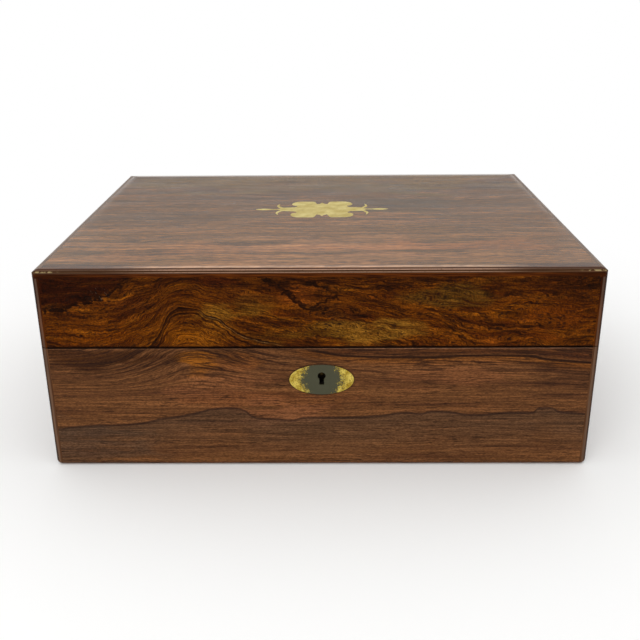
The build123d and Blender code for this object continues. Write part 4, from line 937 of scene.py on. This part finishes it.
# The edge of the dark skin wanders over 2 mm, and its specks are 0.8 mm wide.
plate = add(tree, "ShaderNodeCombineXYZ", {0: x, 1: y, 2: z})
ragged = add(tree, "ShaderNodeTexNoise", {"Vector": plate, "Scale": 0.45, "Detail": 3.0})
speck = add(
    tree, "ShaderNodeTexNoise", {"Vector": plate, "Scale": 1.3, "Detail": 3.0, "Roughness": 0.7}
)
aside = add(tree, "ShaderNodeMath", {0: total(tree, x, -lock_x)}, operation="ABSOLUTE")
updown = add(tree, "ShaderNodeMath", {0: total(tree, z, -escutcheon_z)}, operation="ABSOLUTE")
edge = total(
    tree,
    aside,
    product(tree, updown, 0.5),
    band(tree, ragged, 0.3, 0.7, -1.2, 1.2),
    band(tree, speck, 0.3, 0.7, -3.0, 3.0),
)
skin = band(tree, edge, 11.9, 11.3)
colour = add(tree, "ShaderNodeValToRGB", {0: ragged}, stops=[(0.35, "#AE9032"), (0.65, "#DCC460")])
colour = tint(tree, colour, product(tree, band(tree, speck, 0.52, 0.62), 0.8), "#54420F")
colour = tint(tree, colour, skin, "#3C3B24")
bright = add(tree, "ShaderNodeMath", {0: 1.0, 1: product(tree, skin, 0.8)}, operation="SUBTRACT")
rough = band(tree, skin, 0.0, 1.0, 0.42, 0.6)
bump = add(tree, "ShaderNodeBump", {"Strength": 0.2, "Distance": 0.0002, "Height": speck})
dress(tree, shader, {"Base Color": colour, "Metallic": bright, "Roughness": rough, "Normal": bump})
print("escutcheon nodes:", len(tree.nodes))

# %% [markdown]
# ## Woods inside
# Open the lid and the carcass shows: mahogany boards with a thin old finish, a pine floor, and the
# ebonised knob of the winding lever. Each could have a figure of its own, but plain boards differ
# mostly in colour and polish, so they share one straight-grained recipe.


# %% Carcass woods
def carcass_wood(name, axis, dark, light, gloss, keyhole=False):
    """Plain straight-grained board, its grain along one axis of the box; painted black behind a keyhole, as
    the shade in the hole.
    """
    material, tree, shader, places = begin(name)
    along = places[axis]
    others = [places[k] for k in range(3) if k != axis]
    across = total(tree, others[0], product(tree, others[1], 0.83))
    drift = streaks(tree, along, across, 90.0, 20.0, seed=3.0, detail=2.0)
    flow = total(tree, across, band(tree, drift, 0.2, 0.8, -4.0, 4.0))
    broad = streaks(tree, along, flow, 110.0, 4.0, seed=0.5, detail=3.0)
    colour = add(tree, "ShaderNodeValToRGB", {0: broad}, stops=[(0.3, dark), (0.7, light)])
    if keyhole:
        behind = band(tree, places[1], -100.0, -105.0)
        # Painted shade: the board behind the keyhole is painted black, so that the hole reads dark.
        keyhole_shade = spot(tree, places[0], places[2], (lock_x, escutcheon_z), (8, 10))
        colour = tint(tree, colour, product(tree, keyhole_shade, behind), "#120A06")
    finish_wood(tree, shader, along, flow, colour, gloss=gloss, fibre=0.2, pores=0.3, level=0.3)
    return material


# Oiled mahogany is an even red-brown with a low sheen.
mahogany_x = carcass_wood("oiled_mahogany_long", 0, "#5A2F1A", "#7C4626", 0.48)
mahogany_front = carcass_wood("oiled_mahogany_front", 0, "#5A2F1A", "#7C4626", 0.48, keyhole=True)
mahogany_y = carcass_wood("oiled_mahogany_end", 1, "#5A2F1A", "#7C4626", 0.48)
# Old pine is honey-coloured and dry, and stained pearwood is black with a soft polish.
pine = carcass_wood("aged_pine", 0, "#9A7446", "#BC965F", 0.62)
ebonised = carcass_wood("ebonised_pearwood", 0, "#15100D", "#241C17", 0.28)
print("carcass woods:", [wood.name for wood in (mahogany_x, mahogany_front, mahogany_y, pine, ebonised)])

# %% [markdown]
# ## Metals of the movement
# Brass plates are brushed and lacquered, steel is ground or blued by heat, and the bolt is of iron.
# A plain colour could do for parts this small, but a metal takes most of its look from its roughness.
# So fine lines along the way it was brushed vary the roughness, and slow clouds of tarnish vary the
# colour in spots of 20 mm. Real brush lines are a few hundredths of a millimetre apart and are drawn
# at 0.3 mm.


# %% Brushed metal
def brushed(name, axis, dull, clean, gloss, tarnish=0.35):
    """Metal brushed along one axis of the box, with clouds of tarnish."""
    material, tree, shader, places = begin(name)
    sheet = add(tree, "ShaderNodeCombineXYZ", {0: places[0], 1: places[1], 2: places[2]})
    cloud = add(tree, "ShaderNodeTexNoise", {"Vector": sheet, "Scale": 0.05, "Detail": 4.0})
    others = [places[k] for k in range(3) if k != axis]
    across = total(tree, others[0], product(tree, others[1], 0.77))
    lines = streaks(tree, places[axis], across, 18.0, 0.3, seed=2.0, detail=2.0)
    colour = add(tree, "ShaderNodeValToRGB", {0: cloud}, stops=[(0.35, dull), (0.65, clean)])
    shade = band(tree, lines, 0.3, 0.7, 1.0 - tarnish * 0.3, 1.0)
    colour = tint(tree, colour, 1.0, shade, "MULTIPLY")
    rough = total(
        tree,
        band(tree, lines, 0.3, 0.7, gloss - 0.06, gloss + 0.08),
        band(tree, cloud, 0.6, 0.35, 0.0, tarnish * 0.3),
    )
    bump = add(tree, "ShaderNodeBump", {"Strength": 0.08, "Distance": 0.0001, "Height": lines})
    dress(tree, shader, {"Base Color": colour, "Roughness": rough, "Normal": bump})
    shader.inputs["Metallic"].default_value = 1.0
    return material


# Lacquered plates and cut wheels stay a clear yellow, hinges dull to brown, a lock's brass blackens.
brass = brushed("lacquered_brass", 0, "#B8923E", "#DDB962", 0.32)
gear_brass = brushed("cut_gear_brass", 1, "#BE9844", "#E2C06C", 0.28)
hinge_brass = brushed("dulled_hinge_brass", 0, "#8A6E34", "#B8964C", 0.42, tarnish=0.6)
lock_brass = brushed("blackened_lock_brass", 0, "#2A2012", "#4A3A1E", 0.50, tarnish=0.8)
# Ground steel is a neutral grey, brightest on the comb. The pins are painted darker than ground steel
# as painted shade, and heat turns springs blue.
steel = brushed("ground_steel", 0, "#8C8C8A", "#B8B8B4", 0.30)
comb_steel = brushed("ground_comb_steel", 1, "#9A9A96", "#C6C6C0", 0.26)
shaded_pin_steel = brushed("shaded_pin_steel", 1, "#46423C", "#67625A", 0.36)
blued = brushed("blued_steel", 0, "#20283A", "#34466A", 0.30)
# Iron and old screws are browner and rougher.
iron = brushed("lock_iron", 0, "#46443F", "#6C6860", 0.50, tarnish=0.8)
screw_steel = brushed("slotted_screw_steel", 0, "#6E6A62", "#94908A", 0.38)
metals = (
    brass, gear_brass, hinge_brass, lock_brass, steel, comb_steel, shaded_pin_steel, blued, iron, screw_steel,
)
print("metals:", [metal.name for metal in metals])

# %% [markdown]
# ## Dressing the CAD solids
# Each solid keeps its shape and only changes its finish. The finish could be given where each material
# is made, but one table shows at a glance which pieces are of the same stuff, and the last line tells
# whether a piece was forgotten.

# %% Finishes by node
finishes = {
    case_front: ["case_front_veneer"],
    lid_front: ["lid_front_veneer"],
    lid_top: ["lid_top_veneer"],
    case_ends: ["case_end_veneers"],
    lid_ends: ["lid_end_veneers"],
    case_back: ["case_back_veneer"],
    lid_back: ["lid_back_veneer"],
    edging: ["case_corner_edging", "lid_edging"],
    cartouche: ["lid_inlay"],
    escutcheon: ["escutcheon"],
    mahogany_front: ["case_front_board"],
    mahogany_x: ["case_back_board", "lid_front_board", "lid_back_board", "lid_top_board"],
    mahogany_y: ["case_end_boards", "lid_end_boards", "left_partition", "right_partition"],
    pine: ["case_floor"],
    ebonised: ["lever_handle"],
    brass: [
        "bedplate", "barrel_bridge", "cylinder_left_bridge", "cylinder_right_bridge", "music_cylinder",
        "cylinder_caps", "comb_base", "spring_barrel", "barrel_cap", "winding_plate", "governor_frame",
        "governor_cock",
    ],
    lock_brass: ["lock_plate", "lock_link_plate"],
    gear_brass: ["great_wheel", "governor_first_wheel", "governor_second_wheel", "fly_vanes"],
    hinge_brass: ["hinge_case_leaves", "hinge_lid_leaves", "hinge_pins"],
    steel: [
        "cylinder_arbor", "winding_arbor", "ratchet_wheel", "winding_lever", "lever_pawl", "click",
        "fly_arbor", "stop_lever", "stop_lever_post",
    ],
    comb_steel: ["comb"],
    blued: ["click_spring", "mainspring", "movement_screws"],
    iron: ["lock_bolt", "lock_cap"],
    screw_steel: ["case_screws", "lid_screws"],
}
for finish, names in finishes.items():
    for name in names:
        nodes[name].data.materials.clear()
        nodes[name].data.materials.append(finish)
undressed = sorted(set(nodes) - {name for names in finishes.values() for name in names})
print("nodes without a finish:", undressed)

# %% [markdown]
# ## Pins of the cylinder
# The tune is a pattern of steel pins set in the brass cylinder, in rings under the comb's teeth. A loop
# could set them one by one, but Geometry Nodes do it with a few named sizes that a reader can change:
# a grid has a row for each tooth and a column for each moment of the tune, chance keeps a few of its
# points, and the grid is rolled up into a cylinder. Each pin is a six-sided peg that starts just under
# the brass, stands 0.9 mm proud of it and points away from the axis. It is drawn 0.7 mm thick where a
# real one has 0.4 mm, so that the picture shows it.

# %% Pins: sizes
tree = bpy.data.node_groups.new("cylinder_pins", "GeometryNodeTree")
tree.interface.new_socket("Geometry", in_out="OUTPUT", socket_type="NodeSocketGeometry")
sizes = {
    "Root radius": 0.0219,
    "Axis Y": 0.0140,
    "Axis Z": 0.0425,
    "First tooth": -0.043375,
    "Tooth spacing": 0.00205,
    "Tooth jitter": 0.00045,
    "Pin radius": 0.00036,
    "Tip radius": 0.00026,
    "Pin length": 0.0010,
    "Pin share": 0.22,
}
counts = {"Teeth": 56, "Moments": 180, "Seed": 7}
for name in sizes:
    tree.interface.new_socket(name, in_out="INPUT", socket_type="NodeSocketFloat")
for name in counts:
    tree.interface.new_socket(name, in_out="INPUT", socket_type="NodeSocketInt")
given = add(tree, "NodeGroupInput").outputs
print("named sizes of the pins:", len(sizes) + len(counts))

# %% Pins: grid and chance
width = add(tree, "ShaderNodeMath", {0: given["Teeth"], 1: -1.0})
width = add(tree, "ShaderNodeMath", {0: width, 1: given["Tooth spacing"]}, operation="MULTIPLY")
grid = add(
    tree,
    "GeometryNodeMeshGrid",
    {"Size X": width, "Size Y": 2 * pi, "Vertices X": given["Teeth"], "Vertices Y": given["Moments"]},
)
chance = add(
    tree,
    "FunctionNodeRandomValue",
    {"Probability": given["Pin share"], "Seed": given["Seed"]},
    data_type="BOOLEAN",
)
points = add(tree, "GeometryNodeMeshToPoints", {"Mesh": grid, "Selection": chance.outputs[3]})
where = add(tree, "ShaderNodeSeparateXYZ", {0: add(tree, "GeometryNodeInputPosition")}).outputs
back = add(tree, "ShaderNodeMath", {0: given["Tooth jitter"], 1: -1.0}, operation="MULTIPLY")
jitter = add(
    tree,
    "FunctionNodeRandomValue",
    {2: back, 3: given["Tooth jitter"], "Seed": given["Seed"]},
    data_type="FLOAT",
)
print("points of the grid:", counts["Teeth"] * counts["Moments"])

# %% Pins: the grid rolled up
middle = add(tree, "ShaderNodeMath", {0: width, 1: 0.5}, operation="MULTIPLY")
at_x = add(tree, "ShaderNodeMath", {0: where["X"], 1: middle})
at_x = add(tree, "ShaderNodeMath", {0: at_x, 1: given["First tooth"]})
at_x = add(tree, "ShaderNodeMath", {0: at_x, 1: jitter.outputs[1]})
lean = add(tree, "ShaderNodeMath", {0: where["Y"]}, operation="COSINE")
lift = add(tree, "ShaderNodeMath", {0: where["Y"]}, operation="SINE")
at_y, at_z = [
    add(
        tree,
        "ShaderNodeMath",
        {0: part, 1: given["Root radius"], 2: given[axis]},
        operation="MULTIPLY_ADD",
    )
    for part, axis in ((lean, "Axis Y"), (lift, "Axis Z"))
]
seat = add(tree, "ShaderNodeCombineXYZ", {0: at_x, 1: at_y, 2: at_z})
off_y = add(tree, "ShaderNodeMath", {0: where["Y"], 1: given["Axis Y"]}, operation="SUBTRACT")
off_z = add(tree, "ShaderNodeMath", {0: where["Z"], 1: given["Axis Z"]}, operation="SUBTRACT")
outward = add(tree, "ShaderNodeCombineXYZ", {1: off_y, 2: off_z})
peg = add(
    tree,
    "GeometryNodeMeshCone",
    {
        "Vertices": 6,
        "Radius Top": given["Tip radius"],
        "Radius Bottom": given["Pin radius"],
        "Depth": given["Pin length"],
    },
    fill_type="TRIANGLE_FAN",
)
turned = add(tree, "FunctionNodeAlignRotationToVector", {"Vector": outward}, axis="Z")
placed = add(tree, "GeometryNodeSetPosition", {"Geometry": points, "Position": seat})
copies = add(
    tree, "GeometryNodeInstanceOnPoints", {"Points": placed, "Instance": peg, "Rotation": turned}
)
real = add(tree, "GeometryNodeRealizeInstances", {0: copies})
coat = add(tree, "GeometryNodeSetMaterial", {"Geometry": real, "Material": shaded_pin_steel})
add(tree, "NodeGroupOutput", {0: coat})
print("nodes of the pins:", len(tree.nodes))

# %% Pins: one plain mesh
holder = bpy.data.objects.new("pins_by_rule", bpy.data.meshes.new("pins_by_rule"))
bpy.context.scene.collection.objects.link(holder)
rule = holder.modifiers.new("pins", "NODES")
rule.node_group = tree
for name, value in {**sizes, **counts}.items():
    rule[tree.interface.items_tree[name].identifier] = value
pinned = holder.evaluated_get(bpy.context.evaluated_depsgraph_get())
pins_mesh = bpy.data.meshes.new_from_object(pinned)
bpy.data.objects.remove(holder)
pins = bpy.data.objects.new("cylinder_pins", pins_mesh)
pins_mesh.name = "cylinder_pins"
bpy.context.scene.collection.objects.link(pins)
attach(pins, "cylinder")
print("pin faces:", len(pins_mesh.polygons))
